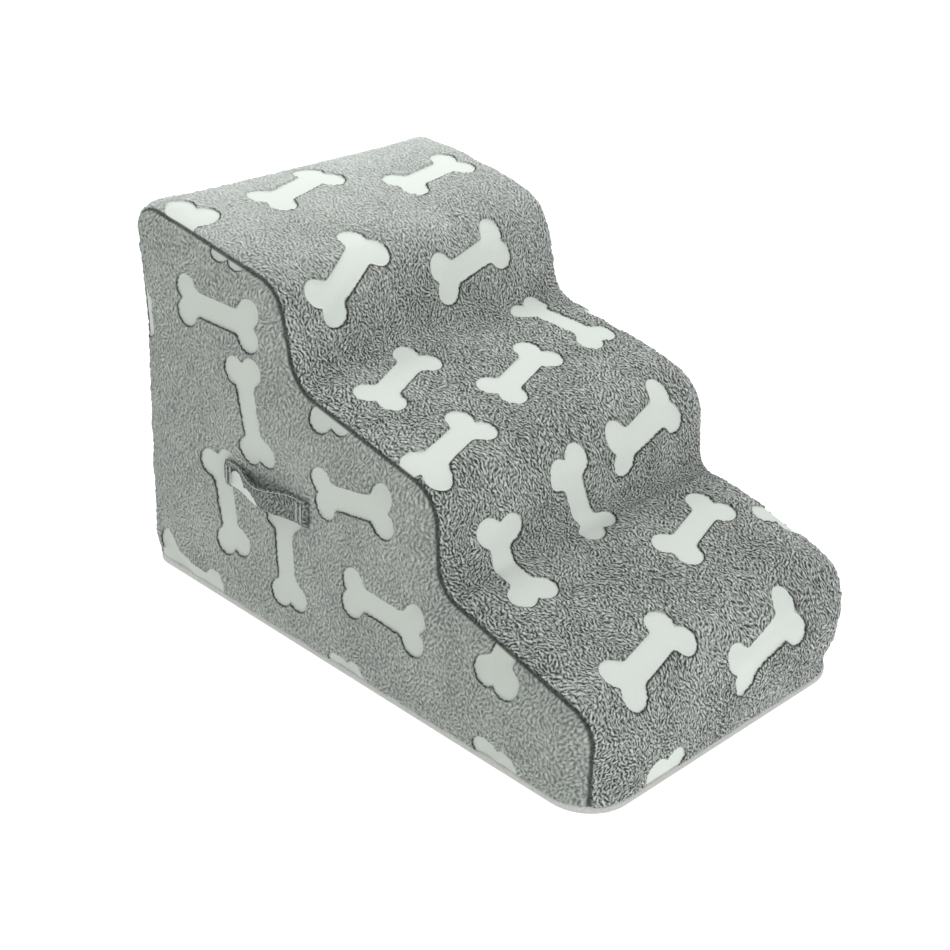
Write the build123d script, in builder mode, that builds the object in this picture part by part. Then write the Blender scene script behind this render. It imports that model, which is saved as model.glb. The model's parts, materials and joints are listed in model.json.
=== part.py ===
from build123d import *

import os

# Foam dog steps with a removable plush cover.
#
# A step-shaped foam block stands in a lining bag inside a sewn plush cover.  The cover opens with
# a coil zipper across the foot of its back, and one side carries a short strap to lift it by.
#
# Frame: +X runs down the steps to the low front, +Y away from the handle side, +Z up.  The origin
# is on the floor, midway between the faces of the cover.  All lengths are millimetres.

# ---- side outline of the cover, from the top of the back to the toe -------------------------
tread_runs = (202, 190, 188)
tread_falls = (30, 39, 48)
riser_runs = (24, 9, 5)
riser_drops = (90, 91, 102)
nose_radii = (42, 42, 38)
valley_radii = (38, 28)
back_corner_radius = 26

length = sum(tread_runs) + sum(riser_runs)
height = sum(tread_falls) + sum(riser_drops)
width = 372
edge_radius = 24
base_edge_radius = 5

# ---- layers, from the outside in ------------------------------------------------------------
cover_thickness = 9
base_cloth_thickness = 4
liner_thickness = 1
topper_thickness = 22

# ---- seams of the cover ---------------------------------------------------------------------
side_seam_y = width / 2 - 10
base_seam_z = 7
back_seam_x = -length / 2 + 14

# ---- zipper across the back, in layers from the outside face inwards ------------------------
zip_z = 52
slot_height = 16
tape_reach = 18
tape_depth = 7.3
tape_thickness = 0.8
coil_half_length = 160
coil_width = 2.8
coil_height = 2.5
chain_gap = 1.2
zip_play = 0.4
slider_home_y = 148
slider_length = 13
slider_half_height = 5.2
wing_thickness = 1.2
under_wing_thickness = 0.9
flange_thickness = 1.2
flange_length = 7
post_length = 3
bridge_half_length = 4.5
bridge_half_width = 1.2
bridge_thickness = 0.8
bridge_clearance = 1.6
pull_length = 26
pull_width = 9
pull_thickness = 1.2
pull_pin_radius = 0.6
pull_pin_length = 6
stop_length = 3
stop_width = 3.6
stop_height = 2.8

# ---- strap handle on the -Y side ------------------------------------------------------------
handle_x = -120
handle_z = 156
strap_half_span = 46
strap_half_width = 11
strap_thickness = 4.4
strap_end_offset = 3.2
strap_bulge = 17
strap_droop = 20
strap_neck_half_width = 1.4
strap_full_width_at = 29
strap_end_gap = 0.5
hinge_offset = 2.5
webbing_thickness = 1.6
webbing_half_width = 8
webbing_neck_half_width = 0.7
tab_length = 14
tab_half_width = 12
patch_margin = 5
patch_thickness = 1.2
bartack_width = 1.8
bartack_margin = 3
bartack_thickness = 0.8

# ---- care label on the back -----------------------------------------------------------------
label_y = -108
label_top_z = 150
label_width = 28
label_length = 42
label_thickness = 0.6
label_standoff = 0.7

back_x = -length / 2
panel_y = -width / 2
everything = (-2000, 2000)

os.makedirs("parts", exist_ok=True)


def outline_corners(foot_z):
    """Corner points of the side outline, and the radius at each, with its foot at foot_z."""
    x, z = back_x, height
    corners = [(x, foot_z), (x, z)]
    radii = [0, back_corner_radius]
    for step, nose_radius in enumerate(nose_radii):
        x, z = x + tread_runs[step], z - tread_falls[step]
        corners.append((x, z))
        radii.append(nose_radius)
        x, z = x + riser_runs[step], z - riser_drops[step]
        corners.append((x, z))
        radii.append(valley_radii[step] if step < len(valley_radii) else 0)
    corners[-1] = (x, foot_z)
    return corners, radii


def stepped_bar(inset, foot_inset, half_width):
    """The side outline, inset all round but foot_inset at the foot, run across the width."""
    corners, radii = outline_corners(foot_inset - inset)
    with BuildPart() as bar:
        with BuildSketch(Plane.XZ.offset(half_width)):
            with BuildLine():
                FilletPolyline(*corners, radius=radii, close=True)
            make_face()
            if inset:
                offset(amount=-inset)
        extrude(amount=-2 * half_width)
    return bar.part


def block(inset, foot_inset):
    """The whole stepped body, inset all round, with its long edges and its foot rounded."""
    bar = stepped_bar(inset, foot_inset, width / 2 - inset)
    with BuildPart() as body:
        add(bar)
        rims = body.faces().filter_by(Plane.XZ).edges()
        foot_edges = body.faces().sort_by(Axis.Z)[0].edges()
        fillet(rims - foot_edges, radius=edge_radius - inset)
        foot = body.faces().sort_by(Axis.Z)[0]
        fillet(foot.edges(), radius=base_edge_radius - foot_inset / 2)
    return body.part


def trim(mode, x=everything, y=everything, z=everything):
    """Cuts the part in hand with a box, or keeps what is in it, between limits on each axis."""
    limits = (x, y, z)
    middle = [(high + low) / 2 for low, high in limits]
    with Locations(tuple(middle)):
        Box(*[high - low for low, high in limits], mode=mode)


def finish(piece, name):
    """Labels a piece and writes it as its own STEP file."""
    piece.label = name
    export_step(piece, f"parts/{name}.step")


# ---- foam and lining ------------------------------------------------------------------------
foam_inset = cover_thickness + liner_thickness
foam_foot = base_cloth_thickness + liner_thickness
core_inset = foam_inset + topper_thickness

outside = block(0, 0)
inside = block(cover_thickness, base_cloth_thickness)
foam_block = block(foam_inset, foam_foot)
core_bar = stepped_bar(core_inset, foam_foot, width)

with BuildPart() as inner_liner:
    add(inside)
    add(foam_block, mode=Mode.SUBTRACT)
finish(inner_liner.part, "inner_liner")

# The topper covers the steps only: the core keeps the block's whole foot and back.
with BuildPart() as foam_topper:
    add(foam_block)
    add(core_bar, mode=Mode.SUBTRACT)
    trim(Mode.SUBTRACT, x=(everything[0], back_x + core_inset))
    trim(Mode.SUBTRACT, z=(everything[0], foam_foot + topper_thickness))
finish(foam_topper.part, "foam_topper")

with BuildPart() as foam_core:
    add(foam_block)
    add(foam_topper.part, mode=Mode.SUBTRACT)
finish(foam_core.part, "foam_core")

# ---- sewn cover -----------------------------------------------------------------------------
with BuildPart() as cover:
    add(outside)
    add(inside, mode=Mode.SUBTRACT)

with BuildPart() as base_panel:
    add(cover.part)
    trim(Mode.INTERSECT, z=(everything[0], base_seam_z))
finish(base_panel.part, "base_panel")

with BuildPart() as plush:
    add(cover.part)
    trim(Mode.INTERSECT, z=(base_seam_z, everything[1]))

with BuildPart() as plain_side_panel:
    add(plush.part)
    trim(Mode.INTERSECT, y=(side_seam_y, everything[1]))
finish(plain_side_panel.part, "plain_side_panel")

tab_middles = (
    handle_x - strap_half_span - tab_length / 2,
    handle_x + strap_half_span + tab_length / 2,
)
patch_y = panel_y + cover_thickness - patch_thickness / 2

with BuildPart() as handle_backing_patches:
    with Locations(*[(x, patch_y, handle_z) for x in tab_middles]):
        Box(tab_length + 2 * patch_margin, patch_thickness, 2 * (tab_half_width + patch_margin))
    fillet(handle_backing_patches.edges().filter_by(Axis.Y), radius=patch_margin)
finish(handle_backing_patches.part, "handle_backing_patches")

with BuildPart() as handle_side_panel:
    add(plush.part)
    trim(Mode.INTERSECT, y=(everything[0], -side_seam_y))
    add(handle_backing_patches.part, mode=Mode.SUBTRACT)
finish(handle_side_panel.part, "handle_side_panel")

with BuildPart() as tread_panel:
    add(plush.part)
    trim(Mode.INTERSECT, x=(back_seam_x, everything[1]), y=(-side_seam_y, side_seam_y))
finish(tread_panel.part, "tread_panel")

tape_outer_x = back_x + tape_depth - tape_thickness
tape_inner_x = back_x + tape_depth
tape_band = (zip_z - tape_reach, zip_z + tape_reach)

with BuildPart() as back_panel:
    add(plush.part)
    trim(Mode.INTERSECT, x=(everything[0], back_seam_x), y=(-side_seam_y, side_seam_y))
    trim(Mode.SUBTRACT, x=(tape_outer_x, everything[1]), z=tape_band)

with BuildPart() as back_panel_upper:
    add(back_panel.part)
    trim(Mode.INTERSECT, z=(zip_z + slot_height / 2, everything[1]))
finish(back_panel_upper.part, "back_panel_upper")

with BuildPart() as back_panel_lower:
    add(back_panel.part)
    trim(Mode.INTERSECT, z=(everything[0], zip_z - slot_height / 2))
finish(back_panel_lower.part, "back_panel_lower")

# ---- zipper tapes, coils and stops ----------------------------------------------------------
coil_outer_x = tape_outer_x - coil_height
coil_x = tape_outer_x - coil_height / 2
tape_x = tape_outer_x + tape_thickness / 2
tape_width = tape_reach - chain_gap / 2

for name, side in (("upper", 1), ("lower", -1)):
    with BuildPart() as zipper_tape:
        with Locations((tape_x, 0, zip_z + side * (chain_gap + tape_width) / 2)):
            Box(tape_thickness, 2 * side_seam_y, tape_width)
    finish(zipper_tape.part, f"zipper_tape_{name}")

    with BuildPart() as zipper_coil:
        with Locations((coil_x, 0, zip_z + side * (chain_gap + coil_width) / 2)):
            Box(coil_height, 2 * coil_half_length, coil_width)
        outer_edges = zipper_coil.edges().filter_by(Axis.Y).group_by(Axis.X)[0]
        fillet(outer_edges, radius=coil_height / 3)
    finish(zipper_coil.part, f"zipper_coil_{name}")

stop_x = tape_outer_x - stop_height / 2
stop_y = coil_half_length + stop_length / 2 + zip_play
with BuildPart() as zipper_end_stops:
    with Locations((stop_x, -stop_y, zip_z)):
        Box(stop_height, stop_length, chain_gap + 2 * stop_width)
    for side in (1, -1):
        with Locations((stop_x, stop_y, zip_z + side * (chain_gap + stop_width) / 2)):
            Box(stop_height, stop_length, stop_width)
    fillet(zipper_end_stops.edges().filter_by(Axis.Y), radius=0.6)
finish(zipper_end_stops.part, "zipper_end_stops")

# ---- zipper slider and pull -----------------------------------------------------------------
wing_inner_x = coil_outer_x - zip_play
wing_outer_x = wing_inner_x - wing_thickness
under_wing_outer_x = tape_inner_x + zip_play
bridge_x = wing_outer_x - bridge_clearance - bridge_thickness / 2
flange_depth = tape_outer_x - zip_play - wing_inner_x

with BuildPart() as zipper_slider:
    with Locations((wing_outer_x + wing_thickness / 2, slider_home_y, zip_z)):
        Box(wing_thickness, slider_length, 2 * slider_half_height)
    with Locations((under_wing_outer_x + under_wing_thickness / 2, slider_home_y, zip_z)):
        Box(under_wing_thickness, slider_length, 2 * slider_half_height)
    fillet(zipper_slider.edges().filter_by(Axis.X), radius=2.5)
    for side in (1, -1):
        flange_z = zip_z + side * (slider_half_height - flange_thickness / 2)
        with Locations((wing_inner_x + flange_depth / 2, slider_home_y, flange_z)):
            Box(flange_depth, flange_length, flange_thickness)
    with Locations(((wing_inner_x + under_wing_outer_x) / 2, slider_home_y, zip_z)):
        Box(under_wing_outer_x - wing_inner_x, post_length, chain_gap / 2)
    with Locations((bridge_x, slider_home_y, zip_z)):
        Box(bridge_thickness, 2 * bridge_half_length, 2 * bridge_half_width)
    for side in (1, -1):
        leg_y = slider_home_y + side * (bridge_half_length - bridge_thickness / 2)
        with Locations(((bridge_x + wing_outer_x) / 2, leg_y, zip_z)):
            Box(wing_outer_x - bridge_x, bridge_thickness, 2 * bridge_half_width)
    bridge_ends = zipper_slider.edges().filter_by(Axis.Z).group_by(Axis.X)[0]
    fillet(bridge_ends, radius=bridge_thickness / 2)
finish(zipper_slider.part, "zipper_slider")

# The pull is a plate with an eye for the bridge, hung from a pin that passes under the bridge.
pull_x = wing_outer_x - bridge_clearance / 2
eye_start_y = slider_home_y - 1.5 * pull_pin_radius
eye_end_y = slider_home_y - bridge_half_length - 1.5 * pull_pin_radius
eye_half_width = bridge_half_width + 0.5
grip_hole_length = 7
grip_hole_width = 4
grip_hole_margin = 6.5

with BuildPart() as zipper_pull:
    with BuildSketch(Plane.YZ.offset(pull_x - pull_thickness / 2)):
        with Locations((slider_home_y - pull_length / 2, zip_z)):
            RectangleRounded(pull_length, pull_width, pull_width / 3)
        with Locations(((eye_start_y + eye_end_y) / 2, zip_z)):
            Rectangle(eye_start_y - eye_end_y, 2 * eye_half_width, mode=Mode.SUBTRACT)
        with Locations((slider_home_y - pull_length + grip_hole_margin, zip_z)):
            SlotOverall(grip_hole_length, grip_hole_width, mode=Mode.SUBTRACT)
    extrude(amount=pull_thickness)
    trim(Mode.SUBTRACT, y=(eye_start_y, everything[1]))
    with Locations((pull_x, slider_home_y, zip_z)):
        Cylinder(pull_pin_radius, pull_pin_length)
    for side in (1, -1):
        lug_z = zip_z + side * (eye_half_width + pull_pin_length / 2) / 2
        with Locations((pull_x, (slider_home_y + eye_start_y) / 2, lug_z)):
            Box(pull_thickness, slider_home_y - eye_start_y, pull_pin_length / 2 - eye_half_width)
finish(zipper_pull.part, "zipper_pull")

# ---- strap handle ---------------------------------------------------------------------------
strap_hinge = Axis((0, panel_y - hinge_offset, handle_z), (1, 0, 0))


def strap_band(thickness, half_width, neck_half_width):
    """A drooping band bowed out over the handle's span, narrowed to a neck at each end."""
    half_span = strap_half_span - strap_end_gap
    with BuildPart() as band:
        with BuildSketch(Plane.XY.offset(handle_z - half_width)):
            with BuildLine():
                ThreePointArc(
                    (handle_x - strap_half_span, panel_y - strap_end_offset),
                    (handle_x, panel_y - strap_bulge),
                    (handle_x + strap_half_span, panel_y - strap_end_offset),
                )
            trace(line_width=thickness)
        extrude(amount=2 * half_width)
        with BuildSketch(Plane.XZ):
            with BuildLine():
                Polyline(
                    (handle_x - half_span, handle_z - neck_half_width),
                    (handle_x - strap_full_width_at, handle_z - half_width),
                    (handle_x + strap_full_width_at, handle_z - half_width),
                    (handle_x + half_span, handle_z - neck_half_width),
                    (handle_x + half_span, handle_z + neck_half_width),
                    (handle_x + strap_full_width_at, handle_z + half_width),
                    (handle_x - strap_full_width_at, handle_z + half_width),
                    (handle_x - half_span, handle_z + neck_half_width),
                    close=True,
                )
            make_face()
        extrude(amount=width, mode=Mode.INTERSECT)
    return band.part.rotate(strap_hinge, strap_droop)


handle_webbing = strap_band(webbing_thickness, webbing_half_width, webbing_neck_half_width)
finish(handle_webbing, "handle_webbing")

sleeve = strap_band(strap_thickness, strap_half_width, strap_neck_half_width)
with BuildPart() as handle_strap:
    add(sleeve)
    add(handle_webbing, mode=Mode.SUBTRACT)
finish(handle_strap.part, "handle_strap")

for name, middle in zip(("rear", "front"), tab_middles):
    with BuildPart() as handle_tab:
        with Locations((middle, panel_y - strap_thickness / 2, handle_z)):
            Box(tab_length, strap_thickness, 2 * tab_half_width)
        fillet(handle_tab.edges().filter_by(Axis.Y), radius=2.5)
        fillet(handle_tab.faces().sort_by(Axis.Y)[0].edges(), radius=1.2)
    finish(handle_tab.part, f"handle_tab_{name}")

tack_y = panel_y - strap_thickness - bartack_thickness / 2
tack_places = [
    (middle + side * tab_length / 4, tack_y, handle_z) for middle in tab_middles for side in (1, -1)
]
with BuildPart() as handle_bartacks:
    with Locations(*tack_places):
        Box(bartack_width, bartack_thickness, 2 * (tab_half_width - bartack_margin))
    fillet(handle_bartacks.edges().filter_by(Axis.Y), radius=bartack_width / 3)
finish(handle_bartacks.part, "handle_bartacks")

# ---- care label -----------------------------------------------------------------------------
label_x = back_x - label_standoff - label_thickness / 2
with BuildPart() as care_label:
    with Locations((label_x, label_y, label_top_z - label_length / 2)):
        Box(label_thickness, label_width, label_length)
    fillet(care_label.edges().filter_by(Axis.X), radius=1)
finish(care_label.part, "care_label")
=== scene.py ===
"""Foam dog steps in a plush cover: the finished look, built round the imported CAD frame.

The cover is sewn from shaped panels of short fleece with sheared bone shapes.  Each panel is a
surface worked out from the side outline of the steps, puffed by a short cloth simulation, given
its pile as real relief, and closed behind into a solid piece.  All lengths are metres, in the
frame's own axes: +X runs down the steps to the front, -Y is the strap's side, +Z is up.
"""

import json
import logging
import math
from dataclasses import dataclass, field
from enum import Enum
from typing import Any

import bmesh
import bpy
import numpy as np
from mathutils import Matrix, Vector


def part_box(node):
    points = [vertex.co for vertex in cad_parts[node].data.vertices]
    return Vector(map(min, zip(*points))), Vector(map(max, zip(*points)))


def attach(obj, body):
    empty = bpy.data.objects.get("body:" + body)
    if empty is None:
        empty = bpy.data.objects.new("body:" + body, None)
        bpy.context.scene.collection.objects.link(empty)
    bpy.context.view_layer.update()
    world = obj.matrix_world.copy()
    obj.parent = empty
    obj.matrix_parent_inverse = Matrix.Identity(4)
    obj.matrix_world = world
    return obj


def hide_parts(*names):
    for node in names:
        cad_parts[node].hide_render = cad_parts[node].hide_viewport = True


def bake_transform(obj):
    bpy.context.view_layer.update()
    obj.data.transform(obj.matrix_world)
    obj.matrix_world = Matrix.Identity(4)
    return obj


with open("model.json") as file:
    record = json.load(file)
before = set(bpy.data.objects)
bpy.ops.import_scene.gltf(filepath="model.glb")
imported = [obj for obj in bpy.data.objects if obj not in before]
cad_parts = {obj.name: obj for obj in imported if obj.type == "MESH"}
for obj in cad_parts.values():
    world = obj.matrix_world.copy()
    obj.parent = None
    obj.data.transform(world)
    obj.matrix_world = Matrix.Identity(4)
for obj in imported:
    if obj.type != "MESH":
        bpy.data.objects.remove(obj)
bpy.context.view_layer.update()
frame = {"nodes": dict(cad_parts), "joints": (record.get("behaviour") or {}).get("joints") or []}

logging.basicConfig(level=logging.INFO, format="%(name)s: %(message)s")
log = logging.getLogger("dog_steps")

MM = 0.001
Array = np.ndarray


# ---- small helpers ---------------------------------------------------------------------------


def smoothstep(low: float, high: float, value: Array) -> Array:
    """Cubic ramp from 0 at low to 1 at high: 3t^2 - 2t^3 of the clipped fraction t.

    Args:
        low: value where the ramp starts; it may be the larger one, for a falling ramp.
        high: value where it ends.
        value: places to read it at.

    Returns:
        The ramp at each place.
    """
    t = np.clip((value - low) / (high - low), 0.0, 1.0)
    return t * t * (3 - 2 * t)


def soft_least(a: Array, b: Array, blend: float) -> Array:
    """The smaller of two distances, with the corner between them filleted.

    Args:
        a: the first distance.
        b: the second distance.
        blend: how unlike the two may be and still be rounded into each other.

    Returns:
        The least distance at each place.
    """
    h = np.clip(0.5 + 0.5 * (b - a) / blend, 0.0, 1.0)
    return b * (1 - h) + a * h - blend * h * (1 - h)


def unit(vectors: Array) -> Array:
    """Vectors divided by their own lengths along the last axis.

    Args:
        vectors: the vectors.

    Returns:
        The same directions, one unit long.
    """
    return vectors / np.maximum(np.linalg.norm(vectors, axis=-1, keepdims=True), 1e-12)


class Grain:
    """A square tile of seeded noise that repeats without a joint, read at any place."""

    def __init__(self, seed: int, wavelength: float, spread: float = 0.35, pitch: float = 0.7 * MM) -> None:
        """Makes the tile: white noise kept only near one wavelength.

        Args:
            seed: start of the random draw.
            wavelength: distance between neighbouring tufts.
            spread: how far the wavelength strays, as a share of its frequency.
            pitch: distance between the tile's samples.
        """
        self.pitch = pitch
        self.count = 512
        draw = np.random.default_rng(seed).standard_normal((self.count, self.count))
        frequency = np.fft.fftfreq(self.count, pitch)
        radial = np.hypot(frequency[:, None], frequency[None, :])
        centre = 1 / wavelength
        keep = np.exp(-(((radial - centre) / (spread * centre)) ** 2))
        field_values = np.fft.ifft2(np.fft.fft2(draw) * keep).real
        self.values = field_values / field_values.std()

    def at(self, u: Array, v: Array) -> Array:
        """The noise at places (u, v): the four nearest samples, mixed by distance.

        Args:
            u: the places' first direction.
            v: their second direction.

        Returns:
            The noise at each place.
        """
        a = u / self.pitch
        b = v / self.pitch
        i = np.floor(a).astype(int)
        j = np.floor(b).astype(int)
        fa = a - i
        fb = b - j
        i, j = i % self.count, j % self.count
        i2, j2 = (i + 1) % self.count, (j + 1) % self.count
        near = self.values[i, j] * (1 - fb) + self.values[i, j2] * fb
        far = self.values[i2, j] * (1 - fb) + self.values[i2, j2] * fb
        return near * (1 - fa) + far * fa


# ---- meshes ----------------------------------------------------------------------------------


@dataclass
class Shape:
    """Points and faces of one piece, with what its finish needs at each point."""

    points: Array
    faces: list[list[int]]
    cloth: Array | None = None
    marks: dict[str, Array] = field(default_factory=dict)


def grid_faces(rows: int, columns: int, start: int = 0, wrap: bool = False) -> list[list[int]]:
    """Four-cornered faces of a grid of points numbered row by row.

    Args:
        rows: number of rows.
        columns: number of points in a row.
        start: number of the first point.
        wrap: whether each row closes on itself.

    Returns:
        The faces as lists of point numbers.
    """
    index = np.arange(rows * columns).reshape(rows, columns) + start
    if wrap:
        index = np.concatenate([index, index[:, :1]], axis=1)
    corners = [index[:-1, :-1], index[1:, :-1], index[1:, 1:], index[:-1, 1:]]
    return np.stack(corners, axis=-1).reshape(-1, 4).tolist()


def closed_panel(surface: Array, lips: tuple[Array, Array], cloth: Array, marks: dict[str, Array]) -> Shape:
    """Closes a panel behind: each row is turned in at both ends and joined by one long face.

    Args:
        surface: points of the face side, as rows by columns by three.
        lips: the turned-in point before the first and after the last column, for each row.
        cloth: flat place of each point in the cloth, as rows by columns by two.
        marks: values at each point, as rows by columns.

    Returns:
        The closed shape.
    """
    rows, columns = surface.shape[:2]
    wide = np.concatenate([lips[0][:, None], surface, lips[1][:, None]], axis=1)
    count = columns + 2
    faces = grid_faces(rows, count)
    first = np.arange(rows) * count
    last = first + columns + 1
    behind = np.stack([first[:-1], last[:-1], last[1:], first[1:]], axis=-1)
    faces += behind.tolist()
    faces.append(list(range(count)))
    faces.append(list(range((rows - 1) * count, rows * count)))
    pad = ((0, 0), (1, 1))
    return Shape(
        wide.reshape(-1, 3),
        faces,
        np.pad(cloth, (*pad, (0, 0)), mode="edge").reshape(-1, 2),
        {name: np.pad(value, pad, mode="edge").reshape(-1) for name, value in marks.items()},
    )


def tube(path: Array, radius: float, sides: int = 6) -> Shape:
    """A round wire: a ring of points square to the path at each of its points, capped.

    Args:
        path: the wire's middle line.
        radius: the wire's radius.
        sides: points in a ring.

    Returns:
        The wire.
    """
    along = unit(np.gradient(path, axis=0))
    steady = np.where(np.abs(along[:, :1]) < 0.8, [[1.0, 0, 0]], [[0, 0, 1.0]])
    across = unit(np.cross(along, steady))
    upward = np.cross(along, across)
    angle = np.linspace(0, 2 * math.pi, sides, endpoint=False)
    ring = across[:, None] * np.cos(angle)[:, None] + upward[:, None] * np.sin(angle)[:, None]
    points = (path[:, None] + radius * ring).reshape(-1, 3)
    faces = grid_faces(len(path), sides, wrap=True)
    faces.append(list(range(sides)))
    faces.append(list(range(len(points) - sides, len(points))))
    return Shape(points, faces)


def repeated(bead: Shape, places: Array, axes: Array) -> Shape:
    """Copies of one small shape: its points turned by each place's three axes, then moved.

    Args:
        bead: the shape, in its own axes.
        places: one point for each copy.
        axes: for each copy, the directions its own X, Y and Z take, as three rows.

    Returns:
        All the copies as one shape.
    """
    turned = np.einsum("pk,nkc->npc", bead.points, axes) + places[:, None]
    step = len(bead.points)
    faces = [[i + n * step for i in face] for n in range(len(places)) for face in bead.faces]
    return Shape(turned.reshape(-1, 3), faces)


def bead_shape(length: float, width: float, height: float, rings: int = 5, sides: int = 6) -> Shape:
    """A grain of thread: an ellipsoid along X, its rings as wide as the sine of their place.

    Args:
        length: its size along X.
        width: its size along Y.
        height: its size along Z.
        rings: rings of points between the two tips.
        sides: points in a ring.

    Returns:
        The grain, about the origin.
    """
    turn = np.linspace(0, math.pi, rings + 2)[1:-1]
    angle = np.linspace(0, 2 * math.pi, sides, endpoint=False)
    x = -np.cos(turn)[:, None] * np.ones(sides) * length / 2
    y = np.sin(turn)[:, None] * np.cos(angle) * width / 2
    z = np.sin(turn)[:, None] * np.sin(angle) * height / 2
    body = np.stack([x, y, z], axis=-1).reshape(-1, 3)
    points = np.concatenate([body, [[-length / 2, 0, 0], [length / 2, 0, 0]]])
    faces = grid_faces(rings, sides, wrap=True)
    tail, nose = len(body), len(body) + 1
    for i in range(sides):
        j = (i + 1) % sides
        faces.append([tail, j, i])
        faces.append([nose, len(body) - sides + i, len(body) - sides + j])
    return Shape(points, faces)


def make_object(name: str, shape: Shape, material: bpy.types.Material,
                body: str = "root") -> bpy.types.Object:
    """Puts a shape into the scene as one smooth piece riding on a body.

    Args:
        name: the piece's name.
        shape: its points, faces, cloth places and marks.
        material: its finish.
        body: the body that it rides on.

    Returns:
        The new object, at the origin.
    """
    mesh = bpy.data.meshes.new(name)
    mesh.from_pydata(shape.points.tolist(), [], shape.faces)
    if shape.cloth is not None:
        corner_point = np.empty(len(mesh.loops), dtype=np.int32)
        mesh.loops.foreach_get("vertex_index", corner_point)
        uv = mesh.uv_layers.new(name="cloth")
        uv.data.foreach_set("uv", shape.cloth[corner_point].astype(np.float32).ravel())
    for mark, values in shape.marks.items():
        attribute = mesh.attributes.new(mark, "FLOAT", "POINT")
        attribute.data.foreach_set("value", values.astype(np.float32))
    work = bmesh.new()
    work.from_mesh(mesh)
    bmesh.ops.recalc_face_normals(work, faces=work.faces)
    work.to_mesh(mesh)
    work.free()
    mesh.polygons.foreach_set("use_smooth", np.ones(len(mesh.polygons), dtype=bool))
    mesh.materials.append(material)
    piece = bpy.data.objects.new(name, mesh)
    bpy.context.scene.collection.objects.link(piece)
    if body:
        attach(piece, body)
    log.info("%s: %d points, %d faces", name, len(mesh.vertices), len(mesh.polygons))
    return piece


# ---- the cloth simulation that puffs a panel -------------------------------------------------


@dataclass(frozen=True)
class PuffRecipe:
    """How a panel is blown up against its sewn edges."""

    cell: float = 9 * MM
    frames: int = 18
    pressure: float = 3.0
    growth: float = 0.012
    quality: int = 6
    stiffness: float = 1.5
    cap_out: float = 5 * MM
    cap_in: float = 1.5 * MM

    def swell(self, surface: Array, normals: Array) -> Array:
        """How far each point of a panel moves out, after the simulation.

        The panel is thinned to about one point a cell, its edges are pinned, its cloth is cut
        a little large and blown outwards, and the movement along the normals is read back and
        spread over the full panel by straight mixing, then smoothed.

        Args:
            surface: points of the panel, as rows by columns by three.
            normals: outward directions at the same points.

        Returns:
            Outward movement at each point, as rows by columns.
        """
        picks = []
        for axis in (0, 1):
            steps = np.linalg.norm(np.diff(surface, axis=axis), axis=-1)
            span = steps.sum(axis=axis).max()
            count = max(4, round(span / self.cell))
            picks.append(np.round(np.linspace(0, surface.shape[axis] - 1, count)).astype(int))
        coarse = surface[np.ix_(*picks)]
        rows, columns = coarse.shape[:2]
        mesh = bpy.data.meshes.new("puff")
        mesh.from_pydata(coarse.reshape(-1, 3).tolist(), [], grid_faces(rows, columns))
        blown = bpy.data.objects.new("puff", mesh)
        bpy.context.scene.collection.objects.link(blown)
        edge = np.ones((rows, columns), dtype=bool)
        edge[1:-1, 1:-1] = False
        pins = blown.vertex_groups.new(name="sewn")
        pins.add(np.flatnonzero(edge).tolist(), 1.0, "REPLACE")
        facing = normals[np.ix_(*picks)]
        flip = self._middle_normal(coarse) @ facing[rows // 2, columns // 2]
        cloth = blown.modifiers.new("Cloth", "CLOTH")
        cloth.settings.quality = self.quality
        cloth.settings.use_pressure = True
        cloth.settings.uniform_pressure_force = self.pressure * (1 if flip > 0 else -1)
        cloth.settings.shrink_min = -self.growth
        cloth.settings.vertex_group_mass = "sewn"
        cloth.settings.effector_weights.gravity = 0
        cloth.settings.bending_stiffness = self.stiffness
        cloth.point_cache.frame_end = self.frames
        scene = bpy.context.scene
        for frame_number in range(1, self.frames + 1):
            scene.frame_set(frame_number)
        settled = blown.evaluated_get(bpy.context.evaluated_depsgraph_get())
        after = np.empty(rows * columns * 3, dtype=np.float32)
        settled.data.vertices.foreach_get("co", after)
        moved = after.reshape(rows, columns, 3) - coarse
        outward = np.einsum("rck,rck->rc", moved, facing)
        bpy.data.objects.remove(blown)
        bpy.data.meshes.remove(mesh)
        scene.frame_set(1)
        outward = np.clip(outward, -self.cap_in, self.cap_out)
        full = self._spread(outward, picks, surface.shape[:2])
        low, high = full.min() / MM, full.max() / MM
        log.info("puffed %dx%d cells, from %.1f to %.1f mm", rows, columns, low, high)
        return full

    @staticmethod
    def _middle_normal(coarse: Array) -> Array:
        """Direction that the coarse grid's middle face looks in: the cross of its two sides."""
        i, j = coarse.shape[0] // 2, coarse.shape[1] // 2
        return unit(np.cross(coarse[i + 1, j] - coarse[i, j], coarse[i, j + 1] - coarse[i, j]))

    @staticmethod
    def _spread(values: Array, picks: list[Array], shape: tuple[int, int]) -> Array:
        """Values at picked rows and columns carried to all of them, then smoothed both ways.

        Args:
            values: the values on the coarse grid.
            picks: the rows and the columns that they belong to.
            shape: rows and columns of the full grid.

        Returns:
            The values on the full grid.
        """
        full_columns = np.arange(shape[1])
        wide = np.stack([np.interp(full_columns, picks[1], row) for row in values])
        full_rows = np.arange(shape[0])
        full = np.stack([np.interp(full_rows, picks[0], column) for column in wide.T], axis=1)
        for axis, pick in enumerate(picks):
            reach = int(np.diff(pick).mean())
            kernel = np.hanning(2 * reach + 3)
            kernel /= kernel.sum()
            half = len(kernel) // 2
            pad = [(half, half) if a == axis else (0, 0) for a in (0, 1)]
            padded = np.pad(full, pad, mode="reflect", reflect_type="odd")
            full = np.apply_along_axis(np.convolve, axis, padded, kernel, mode="valid")
        return full


# ---- the side outline of the cover -----------------------------------------------------------


class Side(Enum):
    """Which long side of the cover a panel is on."""

    STRAP = -1
    PLAIN = 1


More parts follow.
